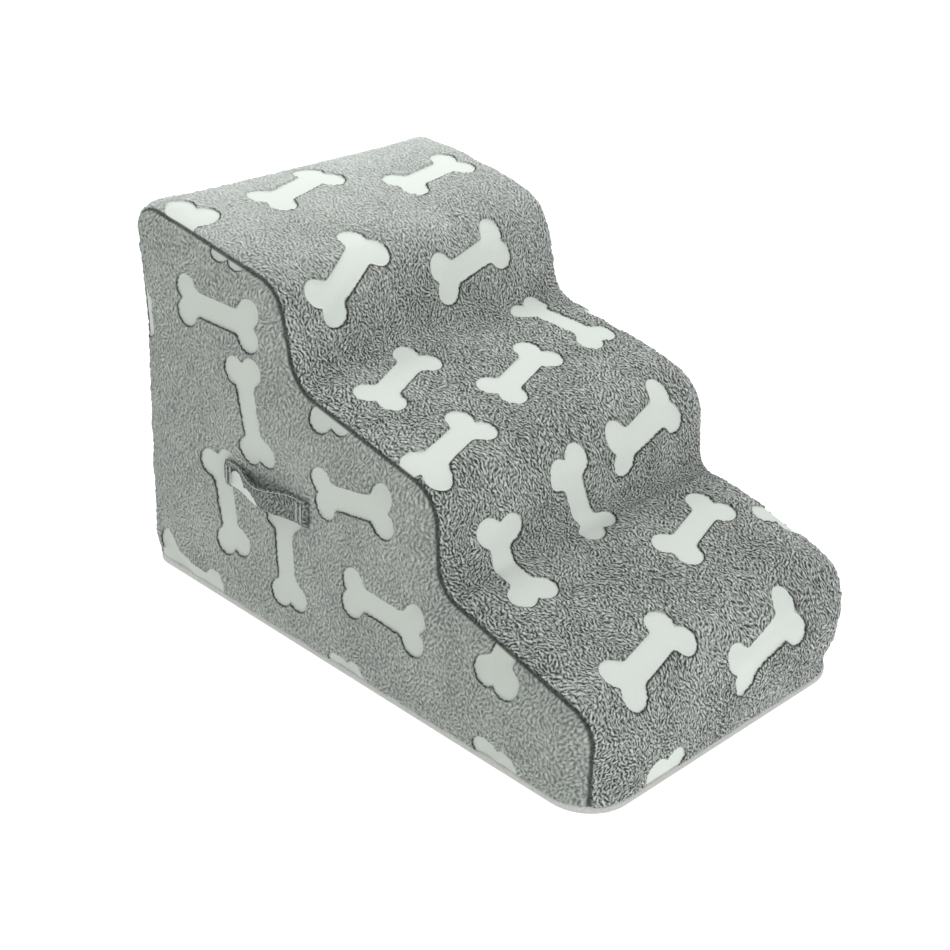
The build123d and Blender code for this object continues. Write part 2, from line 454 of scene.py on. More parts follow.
@dataclass
class Outline:
    """The steps seen from the side: corners joined by arcs, walked from the back's foot to the toe."""

    runs: tuple[float, ...] = (202 * MM, 190 * MM, 188 * MM)
    falls: tuple[float, ...] = (30 * MM, 39 * MM, 48 * MM)
    riser_runs: tuple[float, ...] = (24 * MM, 9 * MM, 5 * MM)
    riser_drops: tuple[float, ...] = (90 * MM, 91 * MM, 102 * MM)
    nose_radii: tuple[float, ...] = (42 * MM, 42 * MM, 38 * MM)
    valley_radii: tuple[float, ...] = (38 * MM, 28 * MM)
    back_radius: float = 25 * MM
    base_seam: float = 7 * MM
    stand: float = 3.5 * MM
    plain_side_extra: float = 3 * MM
    tread_swell: tuple[float, ...] = (8 * MM, 7 * MM, 11 * MM)
    front_swell: float = 4 * MM
    back_lean: float = 2 * MM
    top_lean: float = 11 * MM
    lean_heights: tuple[float, float] = (250 * MM, 395 * MM)
    rim_radii: tuple[float, float, float] = (11 * MM, 13 * MM, 24 * MM)
    spacing: float = 1 * MM

    def __post_init__(self) -> None:
        """Walks the corners, rounds them, and spaces points evenly along the result."""
        self.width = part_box("base_panel")[1][1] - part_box("base_panel")[0][1]
        self.half_length = (sum(self.runs) + sum(self.riser_runs)) / 2
        self.height = sum(self.falls) + sum(self.riser_drops)
        x, z = -self.half_length, self.height
        corners = [(x, self.base_seam), (x, z)]
        radii = [self.back_radius]
        for i, run in enumerate(self.runs):
            x, z = x + run, z - self.falls[i]
            corners.append((x, z))
            radii.append(self.nose_radii[i])
            x, z = x + self.riser_runs[i], z - self.riser_drops[i]
            corners.append((x, z))
            if i < len(self.valley_radii):
                radii.append(self.valley_radii[i])
        toe_slope = self.riser_runs[-1] / self.riser_drops[-1]
        corners[-1] = (x - toe_slope * self.base_seam, self.base_seam)
        rounded = [np.array([corners[0]])]
        for i, radius in enumerate(radii, start=1):
            rounded.append(self._arc(*(np.array(corners[i + k]) for k in (-1, 0, 1)), radius))
        rounded.append(np.array([corners[-1]]))
        path = np.concatenate(rounded)
        travel = np.concatenate([[0], np.cumsum(np.linalg.norm(np.diff(path, axis=0), axis=1))])
        self.total = travel[-1]
        self.s = np.linspace(0, self.total, round(self.total / self.spacing) + 1)
        self.points = np.stack([np.interp(self.s, travel, path[:, k]) for k in (0, 1)], axis=1)
        along = unit(np.gradient(self.points, axis=0))
        kernel = np.hanning(9) / np.hanning(9).sum()
        padded = np.pad(along, ((4, 4), (0, 0)), mode="edge")
        along = np.stack([np.convolve(padded[:, k], kernel, mode="valid") for k in (0, 1)], axis=1)
        self.normals = unit(np.stack([-along[:, 1], along[:, 0]], axis=1))
        turned = np.arctan2(self.normals[:, 1], -self.normals[:, 0])
        self.top_seam = float(self.s[np.argmax(turned > math.pi / 4)])
        low, high = self.lean_heights
        lean = self.back_lean + self.top_lean * smoothstep(low, high, self.points[:, 1])
        lean *= smoothstep(self.top_seam + 70 * MM, self.top_seam - 10 * MM, self.s)
        self.points = self.points + self.normals * self.stand - np.stack([lean, 0 * lean], axis=1)
        self.lift = self._fuller_side()
        self.halves = {Side.STRAP: self.width / 2 + self.stand}
        self.halves[Side.PLAIN] = self.halves[Side.STRAP] + self.plain_side_extra

    def _fuller_side(self) -> Array:
        """How much fuller the plain side is stuffed than the strap side, at each sample.

        Each tread swells by sin(pi t)^0.7 of its own height, where t runs from its rear end to
        its nose; the first nose is drawn in, and all in front of the second swells a little more.

        Returns:
            The distance that each sample moves out.
        """
        x = self.points[:, 0]
        stepping = self.s > self.top_seam
        lift = np.zeros_like(x)
        start = -self.half_length
        for run, riser_run, height in zip(self.runs, self.riser_runs, self.tread_swell):
            t = np.clip((x - start) / run, 0, 1)
            lift += height * np.sin(math.pi * t) ** 0.7 * stepping
            start += run + riser_run
        foot = smoothstep(4 * MM, 45 * MM, self.total - self.s)
        lift -= 5 * MM * np.exp(-(((x + 100 * MM) / (28 * MM)) ** 2))
        return lift + self.front_swell * foot * smoothstep(80 * MM, 118 * MM, x)

    def edge(self, side: Side) -> tuple[Array, float]:
        """The outline as one long side follows it, and that side's distance from the middle.

        Args:
            side: which long side.

        Returns:
            The outline's samples in x and z, and the side's distance from the middle plane.
        """
        fuller = self.lift if side is Side.PLAIN else np.zeros_like(self.lift)
        return self.points + self.normals * fuller[:, None], self.halves[side]

    @staticmethod
    def _arc(before: Array, corner: Array, after: Array, radius: float) -> Array:
        """Points round one corner: the circle of that radius which touches both of its sides.

        Args:
            before: the corner before this one.
            corner: the corner to round.
            after: the corner after it.
            radius: the circle's radius.

        Returns:
            Points along the arc.
        """
        incoming = unit(corner - before)
        outgoing = unit(after - corner)
        turn = math.acos(float(np.clip(incoming @ outgoing, -1, 1)))
        reach = radius * math.tan(turn / 2)
        side = unit(outgoing - incoming)
        centre = corner + side * radius / math.cos(turn / 2)
        start = corner - incoming * reach - centre
        swing = np.linspace(0, 1, 24)[:, None] * turn
        return centre + start * np.cos(swing) + incoming * radius * np.sin(swing)

    def rim_radius(self, s: Array) -> Array:
        """Rounding of the long edges: small up the back, larger over the steps and at the foot.

        Args:
            s: distances along the outline.

        Returns:
            The radius at each of them.
        """
        steps = smoothstep(self.top_seam - 30 * MM, self.top_seam + 40 * MM, s)
        toe = smoothstep(self.total - 120 * MM, self.total - 10 * MM, s)
        heel = smoothstep(32 * MM, 3 * MM, s)
        back_radius, step_extra, toe_extra = self.rim_radii
        return back_radius + step_extra * (steps + heel) + toe_extra * toe

    def at(self, s: Array) -> tuple[Array, Array, Array]:
        """Reads the outline at some distances along it.

        Args:
            s: the distances.

        Returns:
            Points and outward directions in x and z, and the plain side's lift.
        """
        place = np.stack([np.interp(s, self.s, self.points[:, k]) for k in (0, 1)], axis=-1)
        facing = np.stack([np.interp(s, self.s, self.normals[:, k]) for k in (0, 1)], axis=-1)
        return place, unit(facing), np.interp(s, self.s, self.lift)


# ---- the bone shapes sheared into the pile ---------------------------------------------------


@dataclass(frozen=True)
class Bone:
    """One bone on a panel.

    Its middle is at u, v in the panel's own two directions, and its length is in mm like them;
    tilt is in degrees.  The bar's round ends stop short of the lobes' middles by the taper.
    """

    u: float
    v: float
    tilt: float
    length: float = 110.0
    lobe: float = 13.8 * MM
    spread: float = 12.4 * MM
    shaft: float = 12.0 * MM
    taper: float = 8 * MM
    blend: float = 7 * MM

    def distance(self, u: Array, v: Array) -> Array:
        """Distance outside the bone: a rounded bar and four discs, joined with soft corners.

        Args:
            u: places along the panel's first direction, in metres.
            v: places along its second direction.

        Returns:
            Signed distance in metres, negative inside.
        """
        turn = math.radians(self.tilt)
        du = u - self.u * MM
        dv = v - self.v * MM
        along = np.abs(du * math.cos(turn) + dv * math.sin(turn))
        across = np.abs(dv * math.cos(turn) - du * math.sin(turn))
        reach = self.length * MM / 2 - self.lobe
        bar = np.hypot(np.maximum(along - reach + self.taper, 0), across) - self.shaft
        disc = np.hypot(along - reach, across - self.spread) - self.lobe
        return soft_least(bar, disc, self.blend)


def bones_distance(bones: tuple[Bone, ...], u: Array, v: Array,
                   shade_toward: tuple[float, float] = (0, 1)) -> Array:
    """Distance to the nearest of several bones, and which way its edge faces, for the painted shade round
    bone pits.

    Args:
        bones: the bones.
        u: places along the panel's first direction, in metres.
        v: places along its second direction.
        shade_toward: the direction in the panel toward the bone edges that take the most painted shade.

    Returns:
        The least distance, and how fast it grows along that direction (-1 to 1), stacked first.
    """
    nothing_near = 200 * MM
    window = 90 * MM
    found = []
    for ahead in (0.0, 1 * MM):
        nearest = np.full(u.shape, nothing_near)
        for bone in bones:
            near = (np.abs(u - bone.u * MM) < window) & (np.abs(v - bone.v * MM) < window)
            far_out = bone.distance(u[near] + ahead * shade_toward[0], v[near] + ahead * shade_toward[1])
            nearest[near] = np.minimum(nearest[near], far_out)
        found.append(nearest)
    return np.stack([found[0], np.clip((found[1] - found[0]) / MM, -1, 1)])


# ---- the plush itself ------------------------------------------------------------------------


@dataclass
class Pile:
    """Short curly fleece: tufts with dark gaps between them, sheared flat inside the bones."""

    tuft: float = 1.7 * MM
    clump: float = 0.28 * MM
    shear: float = 2.4 * MM
    edge: float = 2.2 * MM
    valley_depth: float = 2.2 * MM
    valley_width: float = 2.6 * MM
    steepness: float = 2.2
    fullness: float = 0.35

    def __post_init__(self) -> None:
        """Makes the two noise tiles: single tufts, and clumps of them."""
        self.tufts = Grain(seed=11, wavelength=5.4 * MM)
        self.clumps = Grain(seed=12, wavelength=13 * MM, spread=0.5)

    def raise_on(self, points: Array, normals: Array, cloth: Array, bone: Array,
                 seam: Array) -> tuple[Array, dict[str, Array]]:
        """Gives a panel its pile.

        Height is the tufts' noise bent by a logistic curve, so that gaps are narrow and tops
        broad, plus the clumps.  Inside a bone it drops by the shear over one edge width, and
        near a seam it dips into a narrow valley.

        Args:
            points: the panel's points.
            normals: its outward directions.
            cloth: flat place of each point in the cloth.
            bone: distance to the nearest bone, and how its edge faces, which sets its painted shade.
            seam: distance to the nearest seam.

        Returns:
            The raised points, and the marks that the finish reads.
        """
        noise = self.tufts.at(cloth[..., 0], cloth[..., 1])
        height = 1 / (1 + np.exp(-self.steepness * (noise + self.fullness)))
        clump = self.clumps.at(cloth[..., 0], cloth[..., 1])
        bone, facing = bone
        outside = smoothstep(-0.5 * self.edge, 0.5 * self.edge, bone)
        lift = outside * ((height - 0.75) * self.tuft + clump * self.clump)
        lift -= (1 - outside) * self.shear
        valley = np.exp(-((seam / self.valley_width) ** 2))
        lift = lift * (1 - 0.7 * valley) - self.valley_depth * valley
        crowding = np.clip(0.5 + clump * 0.25, 0, 1)
        # The finish paints shade from the facing mark on bone edges, from the seam mark and from low pile.
        marks = {"pile": 0.8 * height + 0.2 * crowding, "bone": bone, "seam": seam, "facing": facing}
        return points + normals * lift[..., None], marks


@dataclass
class StripPanel:
    """A panel that crosses the cover from side to side, between two distances along the outline."""

    name: str
    start: float
    end: float
    bones: tuple[Bone, ...]
    grain_shift: float = 0.0
    spacing: float = 1.7 * MM
    lip: float = 6 * MM
    roll_start: bool = False
    roll_end: bool = False
    roll_radius: float = 4 * MM

    def build(self, outline: Outline, pile: Pile, puff: PuffRecipe,
              material: bpy.types.Material) -> bpy.types.Object:
        """Makes the panel.

        Across the cover the surface is flat, then follows the edge's arc through an eighth of
        a turn to the side seam, so a place at arc angle t stands in by r(1 - cos t) and out by
        r sin t.

        Args:
            outline: the side outline.
            pile: the plush.
            puff: the simulation's recipe.
            material: the finish.

        Returns:
            The panel as a closed piece.
        """
        rows = round((self.end - self.start) / self.spacing) + 1
        s = np.linspace(self.start, self.end, rows)[:, None]
        radius = outline.rim_radius(s)
        near_half, far_half = outline.halves[Side.STRAP], outline.halves[Side.PLAIN]
        turned = radius * (math.pi / 4 - 1)
        columns = round(outline.width / self.spacing) + 1
        share = np.linspace(0, 1, columns)[None, :]
        across = (far_half + turned) * share - (near_half + turned) * (1 - share)
        half_flat = np.where(across < 0, near_half, far_half) - radius
        angle = np.clip((np.abs(across) - half_flat) / radius, 0, math.pi / 4)
        sign = np.sign(across)
        y = np.where(angle > 0, sign * (half_flat + radius * np.sin(angle)), across)
        inset = radius * (1 - np.cos(angle))
        place, facing, lift = outline.at(s[:, 0])
        place, facing = place[:, None], facing[:, None]
        rolled, to_seam = self._rolled(s)
        fuller = lift[:, None] * smoothstep(-near_half, far_half - 24 * MM, y)
        flat = place + facing * (fuller - inset - rolled)[..., None]
        surface = np.stack([flat[..., 0], y, flat[..., 1]], axis=-1)
        lean = np.cos(angle)
        normals = np.stack([facing[..., 0] * lean, sign * np.sin(angle), facing[..., 1] * lean], axis=-1)
        surface += normals * puff.swell(surface, normals)[..., None]
        cloth = np.stack([across, np.broadcast_to(s, across.shape)], axis=-1)
        # The last pair points toward the bone edges that take the most painted shade.
        bone = bones_distance(self.bones, cloth[..., 0], cloth[..., 1] - self.start, (0.5, 0.87))
        seam = np.minimum(half_flat + radius * math.pi / 4 - np.abs(across), to_seam)
        shifted = cloth + self.grain_shift
        surface, marks = pile.raise_on(surface, normals, shifted, bone, seam)
        inward = np.stack([facing[:, 0, 0], np.zeros(rows), facing[:, 0, 1]], axis=-1) * self.lip
        lips = (surface[:, 0] - inward, surface[:, -1] - inward)
        return make_object(self.name, closed_panel(surface, lips, shifted, marks), material)

    def _rolled(self, s: Array) -> tuple[Array, Array]:
        """How far each row is rolled in at a zipper's edge, and how far it is from a sewn end.

        Args:
            s: distance of each row along the outline.

        Returns:
            How far the row turns in, which follows a circle of the roll's radius, and its
            distance from the nearer sewn end.
        """
        rolled = np.zeros_like(s)
        to_seam = np.full_like(s, 1.0)
        for is_rolled, gap in ((self.roll_start, s - self.start), (self.roll_end, self.end - s)):
            if is_rolled:
                over = np.clip(self.roll_radius - gap, 0, self.roll_radius)
                rolled += self.roll_radius - np.sqrt(self.roll_radius**2 - over**2)
            else:
                to_seam = np.minimum(to_seam, gap)
        return rolled, to_seam


@dataclass
class SidePanel:
    """A flat side of the cover, from the steps' edge down to the foot and back to the rear edge."""

    name: str
    side: Side
    bones: tuple[Bone, ...]
    grain_shift: float = 0.0
    columns: int = 430
    rows: int = 170
    held: tuple[tuple[float, float], ...] = ()
    held_reach: tuple[float, float] = (45 * MM, 38 * MM)
    lip: float = 6 * MM
    stub: float = 1.5 * MM

    def build(self, outline: Outline, pile: Pile, puff: PuffRecipe,
              material: bpy.types.Material) -> bpy.types.Object:
        """Makes the panel.

        Straight lines at 45 degrees join the steps' edge to the rear edge or the foot: both
        ends of a line have the same x - z.  A point nearer to the outline than the edge's
        radius r, at distance d, stands in by r - sqrt(r^2 - (r - d)^2).

        Args:
            outline: the side outline.
            pile: the plush.
            puff: the simulation's recipe.
            material: the finish.

        Returns:
            The panel as a closed piece.
        """
        edge, half = outline.edge(self.side)
        radius_along = outline.rim_radius(outline.s)
        seam_share = 1 - math.sin(math.pi / 4)
        inset = edge - outline.normals * (radius_along * seam_share)[:, None]
        inset[:, 1] = np.maximum(inset[:, 1], outline.base_seam)
        split = int(np.argmin(np.abs(outline.s - outline.top_seam)))
        upper, rear = inset[split:], inset[: split + 1][::-1]
        foot = np.array([[upper[-1, 0], outline.base_seam]])
        lower = np.concatenate([rear, foot])
        upper_level = np.maximum.accumulate(upper[:, 0] - upper[:, 1])
        lower_level = np.maximum.accumulate(lower[:, 0] - lower[:, 1])
        level = np.linspace(upper_level[0] + self.stub, upper_level[-1] - self.stub, self.columns)
        corner = int(np.argmin(np.abs(level - (rear[-1, 0] - rear[-1, 1]))))
        level[corner] = rear[-1, 0] - rear[-1, 1]
        ends = []
        for line, values in ((upper, upper_level), (lower, lower_level)):
            x = np.interp(level, values, line[:, 0])
            ends.append(np.stack([x, x - level], axis=-1))
        share = np.linspace(0, 1, self.rows)[None, :, None]
        plan = ends[0][:, None] * (1 - share) + ends[1][:, None] * share
        distance, nearest = self._to_edge(plan, edge)
        radius = outline.rim_radius(outline.s[nearest])
        depth_in = np.clip(radius - distance, 0, radius)
        inset_y = radius - np.sqrt(np.maximum(radius**2 - depth_in**2, 0))
        sign = float(self.side.value)
        surface = np.stack([plan[..., 0], sign * (half - inset_y), plan[..., 1]], axis=-1)
        lean = np.clip(depth_in / radius, 0, math.sin(math.pi / 4))
        facing = outline.normals[nearest] * lean[..., None]
        normals = unit(np.stack([facing[..., 0], sign * np.sqrt(1 - lean**2), facing[..., 1]], axis=-1))
        wide, tall = self.held_reach
        held = sum(np.exp(-(((plan[..., 0] - x) / wide) ** 2 + ((plan[..., 1] - z) / tall) ** 2))
                   for x, z in self.held)
        surface += normals * (puff.swell(surface, normals) * np.clip(1 - held, 0, 1))[..., None]
        cloth = plan.copy()
        # The last pair points toward the bone edges that take the most painted shade.
        bone = bones_distance(self.bones, cloth[..., 0], cloth[..., 1], (-0.7, -0.7))
        seam = np.minimum(distance - radius * seam_share, plan[..., 1] - outline.base_seam)
        shifted = cloth + self.grain_shift
        surface, marks = pile.raise_on(surface, normals, shifted, bone, np.maximum(seam, 0))
        behind = sign * (half - self.lip - radius.max() * seam_share)
        lips = []
        for end in (0, -1):
            lip = surface[:, end].copy()
            lip[:, 1] = behind
            lips.append(lip)
        return make_object(self.name, closed_panel(surface, tuple(lips), shifted, marks), material)

    @staticmethod
    def _to_edge(plan: Array, edge: Array) -> tuple[Array, Array]:
        """Distance from each point to the edge's nearest sample, and that sample's number.

        Args:
            plan: the points, in x and z.
            edge: the outline's samples, in x and z.

        Returns:
            The distances, and the samples' numbers.
        """
        best = np.full(plan.shape[:2], 9.0)
        nearest = np.zeros(plan.shape[:2], dtype=int)
        for number in range(0, len(edge), 2):
            gap = np.hypot(plan[..., 0] - edge[number, 0], plan[..., 1] - edge[number, 1])
            closer = gap < best
            best[closer] = gap[closer]
            nearest[closer] = number
        return best, nearest


# ---- the foot: pale cloth turned up round the edge, with grip dots underneath ----------------


@dataclass
class BaseCloth:
    """The non-slip base, its turned-up edge and its dots."""

    turn_radius: float = 4 * MM
    lift: float = 0.6 * MM
    inset: float = 0.5 * MM
    tuck: float = 3 * MM
    dot_spacing: float = 11 * MM
    dot_radius: float = 1.7 * MM
    dot_margin: float = 14 * MM
    dot_sides: int = 8
    spacing: float = 4 * MM

    def plan(self, outline: Outline, steps: int = 14) -> tuple[Array, Array, Array]:
        """The foot's rounded rectangle, as quarter circles of points.

        Args:
            outline: the side outline, for the length of the foot and its corners' radii.
            steps: points in each corner.

        Returns:
            A centre, a direction and a radius for each point of the loop.
        """
        rear = float(outline.rim_radius(np.array([0.0]))[0])
        front = float(outline.rim_radius(np.array([outline.total]))[0])
        toe, heel = outline.points[-1, 0], outline.points[0, 0]
        centres, directions, radii = [], [], []
        corners = ((1, 1, front, 0), (-1, 1, rear, 90), (-1, -1, rear, 180), (1, -1, front, 270))
        for sx, sy, radius, first in corners:
            angle = np.radians(first + np.linspace(0, 90, steps))
            x = (toe - radius) if sx > 0 else (heel + radius)
            half = outline.halves[Side.PLAIN if sy > 0 else Side.STRAP]
            centres.append(np.tile([x, sy * (half - radius)], (steps, 1)))
            directions.append(np.stack([np.cos(angle), np.sin(angle)], axis=1))
            radii.append(np.full(steps, radius))
        return np.concatenate(centres), np.concatenate(directions), np.concatenate(radii)

    def loop(self, outline: Outline, inset: float) -> Array:
        """The foot's outline drawn in, with points evenly along its straight runs.

        Args:
            outline: the side outline.
            inset: how far it is drawn in.

        Returns:
            Points of the closed loop, in x and y.
        """
        centres, directions, radii = self.plan(outline)
        corner = centres + directions * (radii - inset)[:, None]
        closed = np.concatenate([corner, corner[:1]])
        reference = centres + directions * radii[:, None]
        reference = np.concatenate([reference, reference[:1]])
        travel = np.concatenate([[0], np.cumsum(np.linalg.norm(np.diff(reference, axis=0), axis=1))])
        where = np.linspace(0, travel[-1], round(travel[-1] / self.spacing), endpoint=False)
        return np.stack([np.interp(where, travel, closed[:, k]) for k in (0, 1)], axis=1)

    def build(self, outline: Outline, cloth_finish: bpy.types.Material,
              dot_finish: bpy.types.Material) -> None:
        """Makes the cloth and its dots.

        The edge's section runs up the inside, over the fold, down the outside, and round a
        quarter circle into the flat underside; the fold's height wanders a little along it.

        Args:
            outline: the side outline.
            cloth_finish: the cloth's finish.
            dot_finish: the dots' finish.
        """
        turn = np.linspace(0, math.pi / 2, 6)
        section = [(self.tuck, 9.5 * MM), (1.6 * MM, 9.0 * MM)]
        section += [(0.9 * MM, 7.6 * MM), (self.inset, 6.2 * MM)]
        for angle in turn:
            inset = self.inset + self.turn_radius * (1 - math.cos(angle))
            section.append((inset, self.lift + self.turn_radius * (1 - math.sin(angle))))
        wander = Grain(seed=31, wavelength=38 * MM, spread=0.6)
        rings = []
        for inset, z in section:
            ring = self.loop(outline, inset)
            length = np.arange(len(ring)) * self.spacing
            high = smoothstep(4 * MM, 9 * MM, np.array(z))
            sway = wander.at(length, np.zeros_like(length)) * 0.35 * MM
            rings.append(np.column_stack([ring, z + sway * high]))
        points = np.concatenate(rings)
        count = len(rings[0])
        faces = grid_faces(len(rings), count, wrap=True)
        faces.append(list(range(count)))
        faces.append(list(range(len(points) - count, len(points))))
        cloth = make_object("base_cloth", Shape(points, faces, points[:, :2]), cloth_finish)
        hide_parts("base_panel")
        dots = make_object("grip_dots", self.dots(outline), dot_finish)

    def dots(self, outline: Outline) -> Shape:
        """The grip dots: low domes on a staggered lattice, reaching the floor.

        Args:
            outline: the side outline, for the size of the foot.

        Returns:
            All the dots as one shape.
        """
        x0, x1 = -outline.half_length + self.dot_margin, outline.points[-1, 0] - self.dot_margin
        y1 = outline.width / 2 - self.dot_margin
        rows = round(2 * y1 / (self.dot_spacing * math.sqrt(3) / 2))
        columns = round((x1 - x0) / self.dot_spacing)
        row, column = np.meshgrid(np.arange(rows + 1), np.arange(columns), indexing="ij")
        x = x0 + (column + 0.5 * (row % 2) + 0.25) * (x1 - x0) / columns
        y = -y1 + row * 2 * y1 / rows
        front = float(outline.rim_radius(np.array([outline.total]))[0])
        beyond = np.hypot(np.maximum(x - (x1 - front), 0), np.maximum(np.abs(y) - (y1 - front), 0))
        keep = beyond < front
        sides = self.dot_sides
        angle = np.linspace(0, 2 * math.pi, sides, endpoint=False)
        circle = np.stack([np.cos(angle), np.sin(angle)], axis=1) * self.dot_radius
        layers = ((0.9, self.lift + 0.3 * MM), (1.0, 0.5 * self.lift), (0.55, 0.0))
        rings = [np.column_stack([circle * share, np.full(sides, z)]) for share, z in layers]
        points = np.concatenate(rings)
        faces = grid_faces(len(layers), sides, wrap=True)
        faces += [list(range(sides)), list(range(len(points) - sides, len(points)))]
        bead = Shape(points, faces)
        places = np.stack([x[keep], y[keep], np.zeros(keep.sum())], axis=1)
        return repeated(bead, places, np.tile(np.eye(3), (len(places), 1, 1)))


# ---- the zipper ------------------------------------------------------------------------------


@dataclass
class Zipper:
    """The two coils, each a flattened helix; the rest of the zipper is the CAD's own."""

    pitch: float = 1.5 * MM
    wire: float = 0.36 * MM
    steps: int = 11

    def build(self, finish: bpy.types.Material) -> None:
        """Makes the coils: a point goes round an oval as it moves along, one turn a pitch.

        Args:
            finish: the coils' finish.
        """
        for phase, name in enumerate(("zipper_coil_upper", "zipper_coil_lower")):
            low, high = (np.array(corner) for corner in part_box(name))
            turns = int((high[1] - low[1] - 2 * self.wire) / self.pitch)
            turn = np.linspace(0, turns * 2 * math.pi, turns * self.steps)
            half = (high - low) / 2 - self.wire
            middle = (high + low) / 2
            x = middle[0] - half[0] * np.cos(turn)
            z = middle[2] + half[2] * np.sin(turn)
            y = low[1] + self.wire + self.pitch * (turn / (2 * math.pi) + 0.25 * phase)
            coil = make_object(f"{name}_wound", tube(np.stack([x, y, z], axis=1), self.wire, 5), finish)
            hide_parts(name)


# ---- the care label --------------------------------------------------------------------------


@dataclass
class CareLabel:
    """A blank satin label, sewn in at the top and resting on the pile at its free end."""

    stand_off: float = 8.8 * MM
    thickness: float = 0.5 * MM
    wave: float = 0.7 * MM
    cells: tuple[int, int] = (40, 26)
    stitches: int = 18
    stitch_proud: float = 0.15 * MM

    def build(self, finish: bpy.types.Material, thread: bpy.types.Material) -> None:
        """Makes the label, which stands a little farther off below its sewn edge and waves slowly.

        Args:
            finish: the satin's finish.
            thread: the thread's finish.
        """
        low, high = (np.array(corner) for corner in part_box("care_label"))
        rows, columns = self.cells
        drop = np.linspace(0, 1, rows)[:, None]
        share = np.linspace(-1, 1, columns)[None, :]
        y = (low[1] + high[1]) / 2 + share * (high[1] - low[1]) / 2
        z = high[2] - drop * (high[2] - low[2])
        out = self.stand_off * (0.88 + 0.12 * smoothstep(0, 0.5, drop))
        wave = self.wave * np.sin(2.4 * share + 3.1 * drop) * drop
        x = high[0] - out - wave
        face = np.stack([np.broadcast_to(v, (rows, columns)) for v in (x, y, z)], axis=-1)
        back = face + np.array([self.thickness, 0, 0])
        points = np.concatenate([face.reshape(-1, 3), back.reshape(-1, 3)])
        count = rows * columns
        index = np.arange(count).reshape(rows, columns)
        rim = np.concatenate([index[0, :-1], index[:-1, -1], index[-1, :0:-1], index[:0:-1, 0]])
        nxt = np.roll(rim, -1)
        faces = grid_faces(rows, columns) + grid_faces(rows, columns, start=count)
        faces += np.stack([rim, nxt, nxt + count, rim + count], axis=1).tolist()
        flat = np.tile(face[..., 1:].reshape(-1, 2), (2, 1))
        label = make_object("care_label_satin", Shape(points, faces, flat), finish, body="care_label")
        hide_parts("care_label")
        stitches = self.stitches
        places = np.stack([np.full(stitches, x[2, 0] - self.stitch_proud),
                           np.linspace(y[0, 1], y[0, -2], stitches),
                           np.full(stitches, z[2, 0])], axis=1)
        axes = np.tile(np.array([[0, 1.0, 0], [1.0, 0, 0], [0, 0, 1.0]]), (stitches, 1, 1))
        beads = repeated(bead_shape(1.1 * MM, 0.4 * MM, 0.4 * MM), places, axes)
        hem = make_object("label_stitches", beads, thread, body="care_label")


# ---- finishes --------------------------------------------------------------------------------


Colour = tuple[float, float, float]
Value = float | bpy.types.NodeSocket


class Tree:
    """A short way to add and join the nodes of a material or of a shared group."""

    def __init__(self, tree: bpy.types.NodeTree) -> None:
        """Keeps the node tree to work on."""
        self.tree = tree

    def add(self, kind: str, inputs: dict[str | int, Any] | None = None, **settings: Any) -> bpy.types.Node:
        """Adds a node.

        Args:
            kind: the node type's name after ShaderNode.
            inputs: a value or an output for each input, by name or number.
            settings: properties of the node itself.

        Returns:
            The node.
        """
        node = self.tree.nodes.new(f"ShaderNode{kind}")
        for key, value in settings.items():
            setattr(node, key, value)
        for key, value in (inputs or {}).items():
            if isinstance(value, bpy.types.NodeSocket):
                self.tree.links.new(value, node.inputs[key])
            else:
                node.inputs[key].default_value = value
        return node

    def math(self, operation: str, *values: Value) -> bpy.types.NodeSocket:
        """A sum on one to three numbers.

        Args:
            operation: the sum's name.
            values: the numbers, or the outputs that give them.

        Returns:
            The sum's output.
        """
        return self.add("Math", dict(enumerate(values)), operation=operation).outputs[0]

    def ramp(self, value: Value, low: Value, high: Value,
             to_low: float = 0.0, to_high: float = 1.0) -> bpy.types.NodeSocket:
        """Carries a value from one range to another, smoothly and clipped.

        Args:
            value: the value.
            low: where the first range starts.
            high: where it ends.
            to_low: what the start becomes.
            to_high: what the end becomes.

        Returns:
            The result's output.
        """
        names = ("Value", "From Min", "From Max", "To Min", "To Max")
        inputs = dict(zip(names, (value, low, high, to_low, to_high)))
        return self.add("MapRange", inputs, interpolation_type="SMOOTHSTEP").outputs[0]

    def mix(self, share: Value, first: Any, second: Any) -> bpy.types.NodeSocket:
        """Mixes two colours.

        Args:
            share: how much of the second colour there is, from 0 to 1.
            first: the first colour, or the output that gives it.
            second: the same for the second colour.

        Returns:
            The mixed colour's output.
        """
        inputs = {0: share, 6: first, 7: second}
        return self.add("Mix", inputs, data_type="RGBA").outputs[2]


def group(name: str, inputs: dict[str, str], outputs: dict[str, str]) -> tuple[Tree, dict, dict]:
    """An empty shared group.

    Args:
        name: the group's name.
        inputs: each input's name and kind of socket.
        outputs: the same for its outputs.

    Returns:
        The tree, the inputs' sockets and the outputs' sockets, by name.
    """
    made = bpy.data.node_groups.new(name, "ShaderNodeTree")
    for in_out, sockets in (("INPUT", inputs), ("OUTPUT", outputs)):
        for socket, kind in sockets.items():
            made.interface.new_socket(socket, in_out=in_out, socket_type=f"NodeSocket{kind}")
    enter = made.nodes.new("NodeGroupInput")
    leave = made.nodes.new("NodeGroupOutput")
    return Tree(made), {s: enter.outputs[s] for s in inputs}, {s: leave.inputs[s] for s in outputs}


